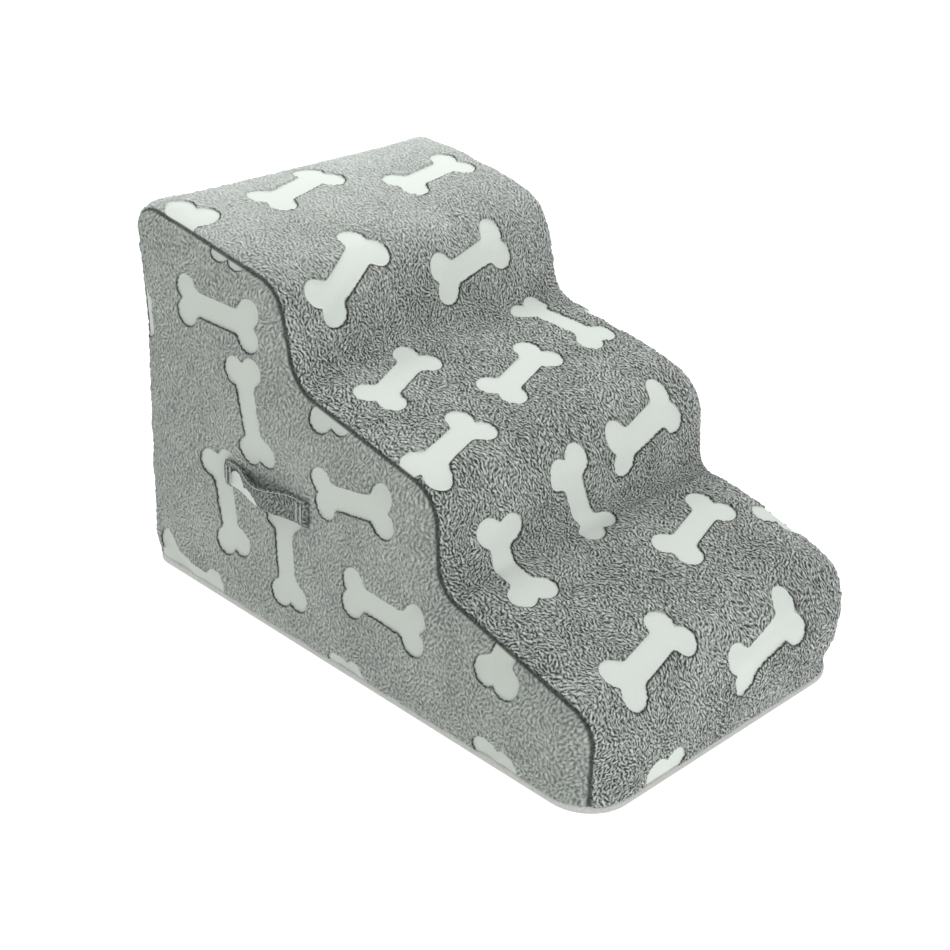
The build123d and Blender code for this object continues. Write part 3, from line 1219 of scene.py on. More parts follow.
def fibre_group() -> bpy.types.NodeTree:
    """Loose fibres: fine noise bent by coarser noise, with slow patches of shade.

    Returns:
        The shared group.
    """
    tree, given, out = group("loose_fibres", {"Vector": "Vector", "Scale": "Float"},
                             {"Height": "Float", "Shade": "Float"})
    bend = tree.add("TexNoise", {"Vector": given["Vector"], "Scale": 140.0, "Detail": 1.0})
    pushed = tree.add("VectorMath", {0: bend.outputs["Color"], 1: (4 * MM, 4 * MM, 4 * MM)},
                      operation="MULTIPLY")
    moved = tree.add("VectorMath", {0: given["Vector"], 1: pushed.outputs[0]}, operation="ADD")
    fine = tree.add("TexNoise", {"Vector": moved.outputs[0], "Scale": given["Scale"], "Detail": 3.0,
                                 "Roughness": 0.6, "Distortion": 0.6})
    slow = tree.add("TexNoise", {"Vector": given["Vector"], "Scale": 16.0, "Detail": 3.0})
    tree.tree.links.new(tree.ramp(fine.outputs[0], 0.3, 0.7), out["Height"])
    tree.tree.links.new(tree.ramp(slow.outputs[0], 0.3, 0.7), out["Shade"])
    return tree.tree


def fleece_group() -> bpy.types.NodeTree:
    """Curled fleece seen from above: tufts an even distance apart in no order, and fine hairs.

    Waves of one length (Gabor noise) give the tufts; they are combed in a direction that turns
    slowly from place to place.  Ordinary noise makes some of them taller, and the sum is
    steepened about its middle, so gaps are dark.

    Returns:
        The shared group.
    """
    tree, given, out = group("curled_fleece", {"Vector": "Vector", "Tufts": "Float", "Gap": "Float"},
                             {"Height": "Float", "Hair": "Float", "Shade": "Float"})
    bend = tree.add("TexNoise", {"Vector": given["Vector"], "Scale": 160.0, "Detail": 1.0})
    pushed = tree.add("VectorMath", {0: bend.outputs["Color"], 1: (3 * MM, 3 * MM, 3 * MM)},
                      operation="MULTIPLY")
    moved = tree.add("VectorMath", {0: given["Vector"], 1: pushed.outputs[0]}, operation="ADD")
    swirl = tree.add("TexNoise", {"Vector": given["Vector"], "Scale": 38.0, "Detail": 1.0})
    comb = tree.math("MULTIPLY_ADD", swirl.outputs[0], 5.0, -2.5)
    waves = tree.add("TexGabor", {"Vector": moved.outputs[0], "Scale": given["Tufts"], "Frequency": 1.5,
                                  "Anisotropy": 0.6, "Orientation": comb}, gabor_type="2D")
    lumps = tree.add("TexNoise", {"Vector": moved.outputs[0], "Scale": 480.0, "Detail": 3.0})
    even = tree.math("MULTIPLY", waves.outputs["Value"], 0.58)
    both = tree.math("MULTIPLY_ADD", lumps.outputs[0], 0.42, even)
    below = tree.math("SUBTRACT", 0.5, given["Gap"])
    above = tree.math("ADD", 0.5, given["Gap"])
    tree.tree.links.new(tree.ramp(both, below, above), out["Height"])
    hair = tree.add("TexNoise", {"Vector": moved.outputs[0], "Scale": 1100.0, "Detail": 2.0})
    slow = tree.add("TexNoise", {"Vector": given["Vector"], "Scale": 14.0, "Detail": 3.0})
    tree.tree.links.new(tree.ramp(hair.outputs[0], 0.3, 0.7), out["Hair"])
    tree.tree.links.new(tree.ramp(slow.outputs[0], 0.3, 0.7), out["Shade"])
    return tree.tree


def weave_group() -> bpy.types.NodeTree:
    """A plain weave: threads cross as the product of two sines, with uneven yarn.

    Returns:
        The shared group.
    """
    tree, given, out = group("plain_weave", {"Vector": "Vector", "Threads": "Float"},
                             {"Height": "Float", "Shade": "Float"})
    split = tree.add("SeparateXYZ", {0: given["Vector"]})
    waves = []
    for axis in (0, 1):
        along = tree.math("MULTIPLY", split.outputs[axis], given["Threads"])
        waves.append(tree.math("SINE", tree.math("MULTIPLY", along, math.pi)))
    crossing = tree.math("MULTIPLY", waves[0], waves[1])
    tree.tree.links.new(tree.math("MULTIPLY_ADD", crossing, 0.5, 0.5), out["Height"])
    yarn = tree.add("TexNoise", {"Vector": given["Vector"], "Scale": 420.0, "Detail": 2.0})
    tree.tree.links.new(tree.ramp(yarn.outputs[0], 0.3, 0.7), out["Shade"])
    return tree.tree


def cell_group() -> bpy.types.NodeTree:
    """Open foam: small cells with thin walls, from the distance to scattered points.

    Returns:
        The shared group.
    """
    tree, given, out = group("foam_cells", {"Vector": "Vector", "Scale": "Float"},
                             {"Height": "Float", "Shade": "Float"})
    cells = tree.add("TexVoronoi", {"Vector": given["Vector"], "Scale": given["Scale"]})
    slow = tree.add("TexNoise", {"Vector": given["Vector"], "Scale": 25.0, "Detail": 4.0})
    tree.tree.links.new(tree.ramp(cells.outputs["Distance"], 0.05, 0.5), out["Height"])
    tree.tree.links.new(tree.ramp(slow.outputs[0], 0.3, 0.7), out["Shade"])
    return tree.tree


def start_material(name: str) -> tuple[bpy.types.Material, Tree, bpy.types.Node]:
    """A new material.

    Args:
        name: its name.

    Returns:
        The material, its tree and its shader.
    """
    material = bpy.data.materials.new(name)
    material.use_nodes = True
    tree = Tree(material.node_tree)
    return material, tree, material.node_tree.nodes["Principled BSDF"]


def rgba(colour: Colour) -> tuple[float, float, float, float]:
    """A colour with full opacity."""
    return (*colour, 1.0)


@dataclass(frozen=True)
class Plush:
    """Fleece: light tufts, pale sheared bones, painted shade in the gaps, bone pits and seams, and a
    painted sheen up top.
    """

    name: str = "plush"
    tip: Colour = (0.62, 0.66, 0.625)
    # The root colour paints the shade in the gaps between tufts.
    root: Colour = (0.040, 0.046, 0.042)
    bone: Colour = (0.65, 0.705, 0.655)
    tufts: float = 190.0
    gap: float = 0.13
    depth: float = 0.86
    # How strongly the coat is painted paler toward the top and back: a painted sheen.
    top_sheen_paint: float = 0.55
    roughness: float = 0.92
    sheen: float = 0.25
    shadow: Colour = (0.012, 0.014, 0.013)
    bone_edge: tuple[float, float] = (-0.6 * MM, 0.5 * MM)
    # How far the painted shade on the pile's walls round the bone pits rises and falls.
    pit_shade_rise: tuple[float, float] = (0.1 * MM, 0.7 * MM)
    pit_shade_fall: tuple[float, float] = (0.9 * MM, 2.8 * MM)
    # How far the painted shade along the seam valleys reaches.
    seam_shade_reach: tuple[float, float] = (0.8 * MM, 3.0 * MM)
    # Where the painted sheen fades in: up the height, and toward the rear.
    top_sheen_heights: tuple[float, float] = (0.28, 0.40)
    top_sheen_rear: tuple[float, float] = (-0.30, -0.05)
    relief: float = 1.1 * MM

    def make(self, fleece: bpy.types.NodeTree) -> bpy.types.Material:
        """Builds the material: the coat's share, with painted shade in the gaps and a painted sheen on top,
        mixes root into tip, and bones cut into it.

        Args:
            fleece: the shared group of tufts and hairs.

        Returns:
            The material, which reads the marks that the pile leaves on each point.
        """
        material, tree, shader = start_material(self.name)
        names = ("pile", "bone", "seam", "facing")
        marks = {mark: tree.add("Attribute", attribute_name=mark).outputs["Fac"] for mark in names}
        coat = tree.add("Group", {}, node_tree=fleece)
        tree.tree.links.new(tree.add("UVMap", uv_map="cloth").outputs[0], coat.inputs["Vector"])
        coat.inputs["Tufts"].default_value = self.tufts
        coat.inputs["Gap"].default_value = self.gap
        tuft, hair, shade = (coat.outputs[name] for name in ("Height", "Hair", "Shade"))
        lit = self._light(tree, tuft, hair, shade, marks["pile"])
        # Mixing toward the root colour paints shade into the gaps between tufts.
        wool = tree.mix(lit, rgba(self.root), rgba(self.tip))
        inside = tree.ramp(marks["bone"], *self.bone_edge, 1.0, 0.0)
        soft = tree.math("MULTIPLY_ADD", hair, 0.10, tree.math("MULTIPLY", tuft, 0.05))
        pale = tree.mix(soft, rgba(self.bone), rgba(tuple(0.6 * c for c in self.bone)))
        cloth = tree.mix(inside, wool, pale)
        # Painted shade on the pile's walls round each bone pit, strongest on the edges that the facing mark
        # picks.
        pit_shade = tree.math("MULTIPLY", tree.ramp(marks["bone"], *self.pit_shade_rise),
                         tree.ramp(marks["bone"], *self.pit_shade_fall, 1.0, 0.0))
        pit_shade = tree.math("MULTIPLY", pit_shade, tree.ramp(marks["facing"], -0.3, 0.7, 0.22, 0.95))
        # Painted shade along the seam valleys.
        seam_shade = tree.ramp(marks["seam"], *self.seam_shade_reach, 0.85, 0.0)
        cloth = tree.mix(tree.math("MAXIMUM", pit_shade, seam_shade), cloth, rgba(self.shadow))
        tree.tree.links.new(cloth, shader.inputs["Base Color"])
        height = tree.math("MULTIPLY_ADD", hair, 0.25, tuft)
        height = tree.math("MULTIPLY", height, tree.ramp(inside, 0.0, 1.0, 1.0, 0.06))
        bump = tree.add("Bump", {"Height": height, "Strength": 0.8, "Distance": self.relief})
        tree.tree.links.new(bump.outputs[0], shader.inputs["Normal"])
        shader.inputs["Roughness"].default_value = self.roughness
        shader.inputs["Specular IOR Level"].default_value = 0.15
        shader.inputs["Sheen Weight"].default_value = self.sheen
        shader.inputs["Sheen Roughness"].default_value = 0.5
        return material

    def _light(self, tree: Tree, tuft: Value, hair: Value, shade: Value, pile: Value) -> Value:
        """How light the coat is: tufts, hairs and relief, with painted shade in the gaps and a painted
        sheen paler toward the top and back.

        Args:
            tree: the material's tree.
            tuft: the tufts' height.
            hair: the fine hairs.
            shade: the slow patches of shade.
            pile: the height that the pile has on the mesh.

        Returns:
            The share of the tip's colour.
        """
        # Where the mesh's pile is lower, the coat is painted darker, as shade.
        relief = tree.math("MULTIPLY_ADD", pile, 0.5, -0.36)
        lit = tree.math("MULTIPLY_ADD", tuft, self.depth, relief)
        lit = tree.math("MULTIPLY_ADD", hair, 0.22, lit)
        lit = tree.math("ADD", lit, tree.math("MULTIPLY_ADD", shade, 0.16, -0.16))
        # Painted sheen: the coat is painted paler toward the top and the back.
        place = tree.add("SeparateXYZ", {0: tree.add("TexCoord").outputs["Object"]})
        painted_top_sheen = tree.math("MULTIPLY", tree.ramp(place.outputs[2], *self.top_sheen_heights, 0.0, self.top_sheen_paint),
                            tree.ramp(place.outputs[0], *self.top_sheen_rear, 1.0, 0.3))
        rest = tree.math("SUBTRACT", 1.0, painted_top_sheen)
        return tree.math("ADD", tree.math("MULTIPLY", lit, rest), painted_top_sheen)


@dataclass(frozen=True)
class Patterned:
    """Any finish whose colour and relief come from one shared pattern."""

    name: str
    light: Colour
    dark: Colour
    scale_name: str
    scale: float
    roughness: float = 0.85
    relief: float = 0.0003
    strength: float = 0.6
    metallic: float = 0.0
    sheen: float = 0.0
    own_cloth: bool = False

    def make(self, pattern: bpy.types.NodeTree) -> bpy.types.Material:
        """Builds the material: the pattern's height and shade mix dark into light.

        Args:
            pattern: the shared group that draws the pattern.

        Returns:
            The material.
        """
        material, tree, shader = start_material(self.name)
        if self.own_cloth:
            where = tree.add("UVMap", uv_map="cloth").outputs[0]
        else:
            where = tree.add("TexCoord").outputs["Object"]
        placed = tree.add("Group", {}, node_tree=pattern)
        tree.tree.links.new(where, placed.inputs["Vector"])
        placed.inputs[self.scale_name].default_value = self.scale
        share = tree.math("MULTIPLY_ADD", placed.outputs["Height"], 0.6,
                          tree.math("MULTIPLY", placed.outputs["Shade"], 0.4))
        tree.tree.links.new(tree.mix(share, rgba(self.dark), rgba(self.light)), shader.inputs["Base Color"])
        rough = tree.ramp(placed.outputs["Shade"], 0.0, 1.0, self.roughness + 0.06, self.roughness - 0.06)
        tree.tree.links.new(rough, shader.inputs["Roughness"])
        bump = tree.add("Bump", {"Height": placed.outputs["Height"], "Strength": self.strength,
                                 "Distance": self.relief})
        tree.tree.links.new(bump.outputs[0], shader.inputs["Normal"])
        shader.inputs["Metallic"].default_value = self.metallic
        shader.inputs["Sheen Weight"].default_value = self.sheen
        return material


class Finishes:
    """Every finish of the object, made once."""

    def __init__(self) -> None:
        """Makes the shared patterns and the materials."""
        fibres, weave, cells = fibre_group(), weave_group(), cell_group()
        fleece = fleece_group()
        self.plush = Plush().make(fleece)
        # A shaded copy for the sides: bones painted darker as shade, tips darker and gaps paler, and less
        # painted sheen.
        self.shaded_side_plush = Plush("shaded_side_plush", tip=(0.49, 0.53, 0.49), root=(0.16, 0.175, 0.162),
                                bone=(0.485, 0.525, 0.48), tufts=165.0, gap=0.19, top_sheen_paint=0.1).make(fleece)
        # A shaded copy for the strap: its whole coat and bones painted darker as shade.
        self.shaded_strap_plush = Plush("shaded_strap_plush", tip=(0.30, 0.325, 0.30), root=(0.05, 0.056, 0.052),
                                 bone=(0.52, 0.565, 0.52)).make(fleece)
        self.base = Patterned("base_cloth", (0.56, 0.575, 0.545), (0.40, 0.41, 0.39),
                              "Threads", 1400.0).make(weave)
        self.dots = Patterned("grip_dots", (0.62, 0.63, 0.61), (0.52, 0.53, 0.51),
                              "Scale", 900.0, 0.45).make(fibres)
        self.thread = Patterned("thread", (0.62, 0.65, 0.62), (0.40, 0.42, 0.40),
                                "Scale", 2600.0).make(fibres)
        self.tape = Patterned("zipper_tape", (0.33, 0.35, 0.34), (0.20, 0.21, 0.205),
                              "Threads", 1500.0).make(weave)
        self.coil = Patterned("zipper_coil", (0.34, 0.36, 0.35), (0.27, 0.28, 0.275), "Scale", 700.0, 0.35,
                              0.00003, 0.3).make(fibres)
        self.metal = Patterned("zipper_metal", (0.56, 0.57, 0.58), (0.40, 0.41, 0.42), "Scale", 900.0, 0.34,
                               0.00004, 0.35, metallic=1.0).make(fibres)
        self.label = Patterned("label_satin", (0.86, 0.86, 0.84), (0.72, 0.72, 0.70),
                               "Threads", 2600.0, 0.42, 0.00006, 0.5, sheen=0.2, own_cloth=True).make(weave)
        self.lining = Patterned("lining", (0.78, 0.77, 0.74), (0.62, 0.61, 0.58),
                                "Threads", 1100.0).make(weave)
        self.webbing = Patterned("webbing", (0.42, 0.43, 0.41), (0.24, 0.25, 0.24),
                                 "Threads", 700.0).make(weave)
        self.foam = Patterned("foam", (0.80, 0.74, 0.56), (0.55, 0.50, 0.36),
                              "Scale", 800.0).make(cells)
        self.soft_foam = Patterned("soft_foam", (0.86, 0.83, 0.74), (0.66, 0.62, 0.52),
                                   "Scale", 1100.0).make(cells)

    def dress_frame(self) -> None:
        """Gives each CAD piece that stays its finish."""
        wanted = {
            "foam_core": self.foam, "foam_topper": self.soft_foam, "inner_liner": self.lining,
            "handle_backing_patches": self.webbing,
            "zipper_tape_upper": self.tape, "zipper_tape_lower": self.tape,
            "zipper_end_stops": self.metal, "zipper_slider": self.metal, "zipper_pull": self.metal,
        }
        for node, material in wanted.items():
            mesh = frame["nodes"][node].data
            mesh.materials.clear()
            mesh.materials.append(material)


# ---- the carry strap -------------------------------------------------------------------------


@dataclass
class CarryStrap:
    """A plush strap over webbing, sewn flat to the side at both ends, bowed out between them."""

    half_width: float = 14.0 * MM
    half_thickness: float = 2.6 * MM
    bow: float = 9.5 * MM
    droop: float = math.radians(12)
    end_margin: float = 3 * MM
    sunk: float = 0.4 * MM
    rounds: int = 96
    steps: int = 220
    stitch_proud: float = 0.3 * MM
    webbing_half_width: float = 9 * MM
    webbing_half_thickness: float = 0.7 * MM
    webbing_shorter: float = 14 * MM
    hem_margin: int = 12
    hem_step: int = 4
    hinge_gap: float = 0.8 * MM
    hinge_reach: float = 4.5 * MM
    tack_margin: float = 4 * MM
    tack_inset: float = 3 * MM
    tack_pitch: float = 0.9 * MM
    middle: float = field(init=False)
    hinge: Array = field(init=False)

    def __post_init__(self) -> None:
        """Reads the strap's middle, and the line that it folds on, from the frame."""
        rear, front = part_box("handle_tab_rear"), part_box("handle_tab_front")
        self.middle = (rear[1][0] + front[0][0]) / 2
        self.hinge = np.array(next(j for j in frame["joints"] if j["name"] == "handle_lift")["pos_m"])

    def build(self, outline: Outline, pile: Pile, finishes: Finishes) -> None:
        """Makes the plush strap, the webbing inside it and the stitching at its ends.

        Args:
            outline: the cover's outline, for the face that the strap is sewn to.
            pile: the plush.
            finishes: the object's finishes.
        """
        points, normals, flat = self.sheath(outline, self.half_width, self.half_thickness, self.rounds)
        bones = (Bone(-30, 29, -15, 52),)
        bone = bones_distance(bones, flat[..., 0], flat[..., 1])
        ends = np.abs(points[:, :1, 0] - self.middle)
        seam = (ends.max() - ends) * np.ones(self.rounds) + 6 * MM
        raised, marks = pile.raise_on(points, normals * 0.5, flat, bone, seam)
        marks = {name: value.reshape(-1) for name, value in marks.items()}
        strap = self._piece("carry_strap", raised, flat, marks, finishes.shaded_strap_plush)
        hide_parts("handle_strap", "handle_tab_rear", "handle_tab_front")
        inner, _, flat = self.sheath(outline, self.webbing_half_width, self.webbing_half_thickness, 16,
                                     self.half_thickness - self.webbing_half_thickness,
                                     self.webbing_shorter)
        webbing = self._piece("strap_webbing", inner, flat, {}, finishes.webbing)
        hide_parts("handle_webbing")
        self.stitch(outline, finishes.thread)
        self.hem(points, normals, finishes.thread)

    def hem(self, points: Array, normals: Array, thread: bpy.types.Material) -> None:
        """A line of stitches near the strap's edge, on its outer face.

        Args:
            points: the strap's smooth surface, as steps by rounds.
            normals: its outward directions.
            thread: the thread's finish.
        """
        row = self.rounds // 10
        run = slice(self.hem_margin, -self.hem_margin)
        path = points[run, row] + normals[run, row] * self.stitch_proud
        along = unit(np.gradient(path, axis=0))
        axes = np.stack([along, normals[run, row], np.cross(along, normals[run, row])], axis=1)
        bead = bead_shape(2.2 * MM, 0.9 * MM, 0.9 * MM)
        beads = repeated(bead, path[::self.hem_step], axes[::self.hem_step])
        hem = self._piece("strap_hem", beads.points[None], beads.points[None, :, :2], {}, thread,
                          beads.faces)

    def sheath(self, outline: Outline, half_width: float, half_thickness: float, rounds: int,
               raised: float = 0.0, shorter: float = 0.0) -> tuple[Array, Array, Array]:
        """A flat oval drawn along the strap.

        The middle line stands out by bow * cos^2 of its place between the sewn ends.  The
        section is |cos|^0.5 wide and |sin|^0.8 thick, turned down about the line that the
        strap folds on by droop * cos^2 of the same place.

        Args:
            outline: the cover's outline.
            half_width: half of the section's width.
            half_thickness: half of its thickness.
            rounds: points in a section.
            raised: how far the section's back stands off the strap's own back.
            shorter: how far each end stops short of the strap's.

        Returns:
            Points, outward directions and flat places, each as steps by rounds.
        """
        rear_low, rear_high = (np.array(c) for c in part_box("handle_tab_rear"))
        front_low, front_high = (np.array(c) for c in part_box("handle_tab_front"))
        hinge, margin = self.hinge, self.end_margin - shorter
        x = np.linspace(rear_low[0] - margin, front_high[0] + margin, self.steps)
        half_span = (front_low[0] - rear_high[0]) / 2 + 2 * MM
        share = np.cos(np.clip((x - self.middle) / half_span, -1, 1) * math.pi / 2) ** 2
        angle = np.linspace(0, 2 * math.pi, rounds, endpoint=False)
        c, s = np.cos(angle), np.sin(angle)
        ends = 1 - 0.55 * smoothstep(0.95, 1.0, np.abs(x - self.middle) / (x[-1] - self.middle))
        ends, share = ends[:, None], share[:, None]
        across = np.sign(c) * np.abs(c) ** 0.5 * half_width * (0.82 + 0.18 * ends)
        thick = np.sign(s) * np.abs(s) ** 0.8 * half_thickness * ends
        out = share * self.bow + raised + half_thickness * ends + thick - self.sunk
        turn = -self.droop * share
        reach = out + outline.halves[Side.STRAP] + hinge[1]
        y = hinge[1] - (reach * np.cos(turn) - across * np.sin(turn))
        z = hinge[2] + (reach * np.sin(turn) + across * np.cos(turn))
        wide = np.broadcast_to(x[:, None], y.shape)
        points = np.stack([wide, y, z], axis=-1)
        around = np.roll(points, -1, 1) - np.roll(points, 1, 1)
        normals = unit(np.cross(np.gradient(points, axis=0), around))
        outward = points - points.mean(axis=1, keepdims=True)
        normals *= np.sign(np.einsum("rck,rck->rc", normals, outward).mean())
        return points, normals, np.stack([wide - self.middle, across + np.sign(s) * 0.05], axis=-1)

    def _piece(self, name: str, points: Array, flat: Array, marks: dict[str, Array],
               material: bpy.types.Material, faces: list[list[int]] | None = None) -> bpy.types.Object:
        """Makes one piece of the strap where its points lie, riding on no body.

        Args:
            name: the piece's name.
            points: its points, as steps by rounds.
            flat: their flat places.
            marks: what the finish reads, by name.
            material: the piece's finish.
            faces: its faces; a section drawn along the strap closes itself when there are none.

        Returns:
            The new object.
        """
        if faces is None:
            steps, rounds = points.shape[:2]
            faces = grid_faces(steps, rounds, wrap=True)
            faces.append(list(range(rounds)))
            faces.append(list(range((steps - 1) * rounds, steps * rounds)))
        shape = Shape(points.reshape(-1, 3), faces, flat.reshape(-1, 2), marks)
        piece = make_object(name, shape, material, body="")
        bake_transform(piece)
        return piece

    def stitch(self, outline: Outline, thread: bpy.types.Material) -> None:
        """Bar tacks across the sewn ends: a close zigzag of stitches, two rows to a tab.

        Args:
            outline: the cover's outline, for the face that the strap is sewn to.
            thread: the thread's finish.
        """
        y = -outline.halves[Side.STRAP] - 2 * self.half_thickness - self.stitch_proud
        places, axes = [], []
        for node in ("handle_tab_rear", "handle_tab_front"):
            low, high = (np.array(corner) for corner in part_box(node))
            for x in (low[0] + self.tack_margin, high[0] - self.tack_margin):
                z = np.arange(low[2] + self.tack_inset, high[2] - self.tack_inset, self.tack_pitch)
                lean = np.where(np.arange(len(z)) % 2, 0.35, -0.35)
                places.append(np.stack([np.full(len(z), x), np.full(len(z), y), z], axis=1))
                along = unit(np.stack([np.ones(len(z)), np.zeros(len(z)), lean], axis=1))
                up = np.tile([0.0, -1.0, 0.0], (len(z), 1))
                axes.append(np.stack([along, up, np.cross(along, up)], axis=1))
        bead = bead_shape(3.0 * MM, 0.8 * MM, 0.8 * MM)
        beads = repeated(bead, np.concatenate(places), np.concatenate(axes))
        tacks = make_object("bar_tacks", beads, thread)
        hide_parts("handle_bartacks")


# ---- the cover -------------------------------------------------------------------------------


STEP_BONES = (
    Bone(-45, 57, -14), Bone(98, 99, -10), Bone(-99, 198, -30), Bone(56, 221, -13), Bone(-97, 325, -23),
    Bone(15, 378, -19), Bone(123, 332, 78), Bone(-130, 430, -17), Bone(91, 484, -14), Bone(-10, 529, 72),
    Bone(-117, 562, -86), Bone(81, 626, -17), Bone(-86, 716, -13), Bone(55, 757, -15), Bone(-91, 862, 90),
    Bone(-205, 62, -20), Bone(222, 338, -10), Bone(206, 640, -30), Bone(170, 852, -80), Bone(30, 905, 85),
)
STRAP_SIDE_BONES = (
    Bone(-187, 322, 1, 120), Bone(-141, 234, -78), Bone(-181, 121, -72), Bone(-89, 99, -80),
    Bone(6, 196, 10), Bone(51, 101, -2), Bone(-44, 304, -75), Bone(198, 140, 84),
    Bone(-244, 14, -8), Bone(3, -31, -85),
    Bone(191, -25, 80), Bone(-178, 425, 85), Bone(-348, 280, 8),
)


def scattered_bones(columns: tuple[float, ...], rows: tuple[float, ...]) -> tuple[Bone, ...]:
    """Bones on a loose lattice: lying and standing ones take turns, so that they stay apart.

    Args:
        columns: the lattice's places along the panel, in mm.
        rows: its places up the panel, in mm.

    Returns:
        One bone for each crossing, moved off it by up to 10 mm.
    """
    tilts = ((-12, 14, -20), (78, -72, 84))
    return tuple(Bone(u + 5 * ((i + 2 * j) % 3), v + 5 * ((i + j) % 3), tilts[(i + j) % 2][(i + 2 * j) % 3])
                 for j, v in enumerate(rows) for i, u in enumerate(columns))


@dataclass
class Cover:
    """The sewn plush cover: the tread panel, two sides and the two halves of the back."""

    outline: Outline
    pile: Pile
    finish: bpy.types.Material
    side_finish: bpy.types.Material

    def build(self) -> None:
        """Makes the panels and hides the CAD pieces that they stand for."""
        end = self.outline.total
        top = self.outline.top_seam
        slot_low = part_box("back_panel_lower")[1][2] - self.outline.base_seam
        slot_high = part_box("back_panel_upper")[0][2] - self.outline.base_seam
        strong, gentle = PuffRecipe(), PuffRecipe(cap_out=1.5 * MM, cap_in=0.5 * MM)
        back_bones = scattered_bones((-135, -10, 115), (40, 158, 276))
        foot_bones = tuple(Bone(b.u, b.v + slot_high / MM, b.tilt) for b in back_bones)
        side_bones = scattered_bones((-250, -122, 6, 134, 262), (42, 160, 278, 396))
        sewn = ((-0.172, 0.156), (-0.12, 0.156), (-0.068, 0.156))
        tread = StripPanel("tread_plush", top, end, STEP_BONES)
        upper = StripPanel("back_plush_upper", slot_high, top, back_bones, 0.11, roll_start=True)
        lower = StripPanel("back_plush_lower", 0.0, slot_low, foot_bones, 0.17, roll_end=True)
        strap_side = SidePanel("strap_side_plush", Side.STRAP, STRAP_SIDE_BONES, 0.05, held=sewn)
        plain_side = SidePanel("plain_side_plush", Side.PLAIN, side_bones, 0.23)
        panels = (
            (tread, "tread_panel", strong),
            (upper, "back_panel_upper", gentle),
            (lower, "back_panel_lower", gentle),
            (strap_side, "handle_side_panel", strong),
            (plain_side, "plain_side_panel", strong),
        )
        for panel, node, recipe in panels:
            finish = self.side_finish if isinstance(panel, SidePanel) else self.finish
            piece = panel.build(self.outline, self.pile, recipe, finish)
            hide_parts(node)


# ---- camera, light and floor -----------------------------------------------------------------


@dataclass(frozen=True)
class Lamp:
    """A round area lamp: where it stands, where it points, its size in m and its power in W."""

    name: str
    place: tuple[float, float, float]
    target: tuple[float, float, float]
    size: float
    power: float

    def hang(self) -> None:
        """Makes the lamp and turns it to its target."""
        data = bpy.data.lights.new(self.name, "AREA")
        data.shape = "DISK"
        data.size = self.size
        data.energy = self.power
        lamp = bpy.data.objects.new(self.name, data)
        away = unit(np.array(self.place) - np.array(self.target))
        side = unit(np.cross([0.0, 0.0, 1.0], away))
        axes = np.stack([side, np.cross(away, side), away], axis=1)
        lamp.matrix_world = Matrix.Translation(self.place) @ Matrix(axes.tolist()).to_4x4()
        bpy.context.scene.collection.objects.link(lamp)


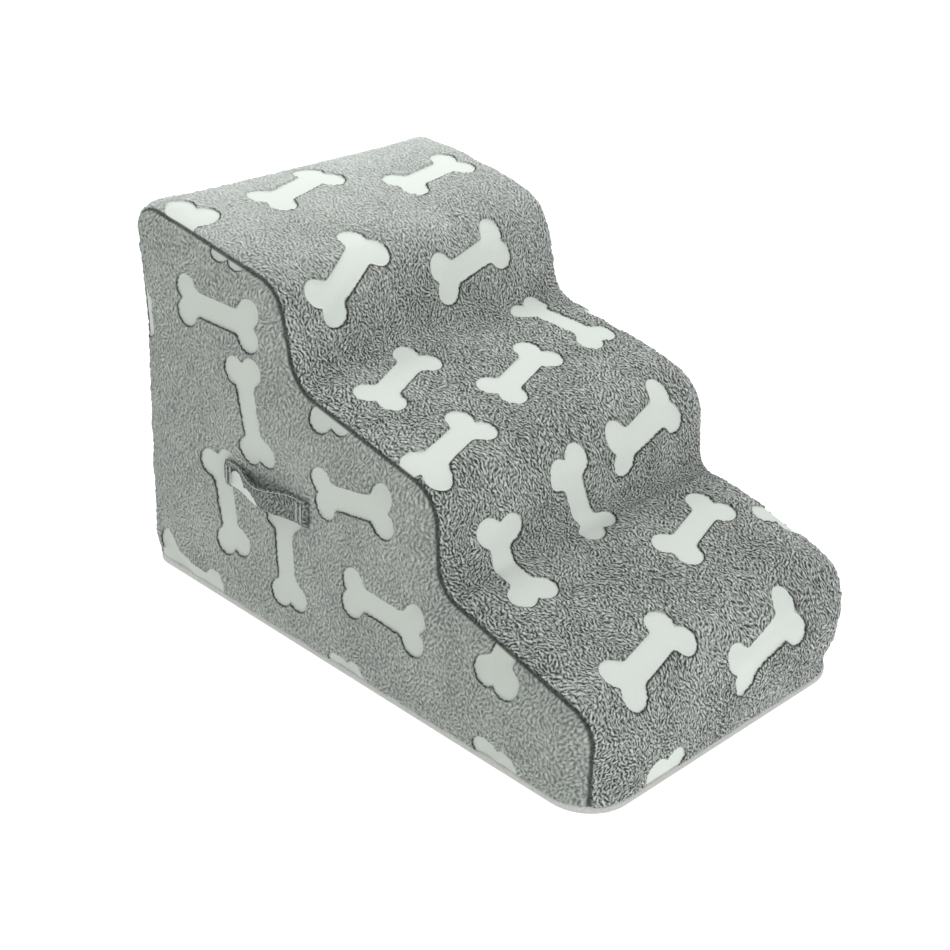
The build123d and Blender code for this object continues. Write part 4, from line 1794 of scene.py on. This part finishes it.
@dataclass(frozen=True)
class Studio:
    """The view, the soft light and the pale floor."""

    azimuth: float = math.radians(43.33)
    elevation: float = math.radians(26.99)
    roll: float = math.radians(2.88)
    offset: tuple[float, float, float] = (0.0171, -0.1402, 1.8118)
    lens: float = 66.25
    sky_light: float = 0.73
    sky_seen: float = 0.27
    floor_glow: float = 0.72
    floor_half: float = 20.0
    lamps: tuple[Lamp, ...] = (
        Lamp("top_lamp", (-0.55, 0.25, 1.25), (-0.1, 0.0, 0.3), 0.7, 6.5),
        Lamp("front_lamp", (2.2, -0.6, 1.0), (0.0, 0.0, 0.2), 1.4, 12.0),
        Lamp("side_lamp", (-0.6, -2.3, 1.1), (0.0, 0.0, 0.2), 1.4, 6.0),
    )

    def camera(self) -> None:
        """Sets the camera up: its axes come from azimuth and elevation, then it rolls a little."""
        a, e = self.azimuth, self.elevation
        back = np.array([math.sin(a) * math.cos(e), -math.cos(a) * math.cos(e), math.sin(e)])
        right = np.array([math.cos(a), math.sin(a), 0.0])
        up = np.cross(back, right)
        tx, ty, tz = self.offset
        place = -tx * right - ty * up + tz * back
        c, s = math.cos(self.roll), math.sin(self.roll)
        axes = np.stack([c * right + s * up, c * up - s * right, back], axis=1)
        data = bpy.data.cameras.new("camera")
        data.lens = self.lens
        data.sensor_width = 36.0
        data.clip_end = 60.0
        camera = bpy.data.objects.new("camera", data)
        camera.matrix_world = Matrix.Translation(place) @ Matrix(axes.tolist()).to_4x4()
        bpy.context.scene.collection.objects.link(camera)
        bpy.context.scene.camera = camera

    def light(self) -> None:
        """An even white sky, a little brighter where the camera sees it, and the soft lamps."""
        world = bpy.data.worlds.new("studio")
        world.use_nodes = True
        bpy.context.scene.world = world
        tree = Tree(world.node_tree)
        sky = world.node_tree.nodes["Background"]
        sky.inputs["Color"].default_value = (1, 1, 1, 1)
        seen = tree.add("LightPath").outputs["Is Camera Ray"]
        strength = tree.math("MULTIPLY_ADD", seen, self.sky_seen, self.sky_light)
        tree.tree.links.new(strength, sky.inputs["Strength"])
        for lamp in self.lamps:
            lamp.hang()
        bpy.context.scene.view_settings.view_transform = "Standard"

    def floor(self) -> None:
        """A plain white floor that glows a little, so that it stays pale under the object."""
        far = self.floor_half
        corners = [(-far, -far, 0.0), (far, -far, 0.0), (far, far, 0.0), (-far, far, 0.0)]
        mesh = bpy.data.meshes.new("floor")
        mesh.from_pydata(corners, [], [[0, 1, 2, 3]])
        material, _, shader = start_material("floor")
        shader.inputs["Base Color"].default_value = (0.55, 0.55, 0.55, 1)
        shader.inputs["Roughness"].default_value = 1.0
        shader.inputs["Specular IOR Level"].default_value = 0.0
        shader.inputs["Emission Color"].default_value = (1, 1, 1, 1)
        shader.inputs["Emission Strength"].default_value = self.floor_glow
        mesh.materials.append(material)
        floor = bpy.data.objects.new("floor", mesh)
        bpy.context.scene.collection.objects.link(floor)


def main() -> None:
    """Builds the studio and then each sub-assembly."""
    studio = Studio()
    studio.camera()
    studio.light()
    studio.floor()
    finishes = Finishes()
    finishes.dress_frame()
    outline = Outline()
    pile = Pile()
    Cover(outline, pile, finishes.plush, finishes.shaded_side_plush).build()
    BaseCloth().build(outline, finishes.base, finishes.dots)
    CarryStrap().build(outline, pile, finishes)
    Zipper().build(finishes.coil)
    CareLabel().build(finishes.label, finishes.thread)


if __name__ == "__main__":
    main()
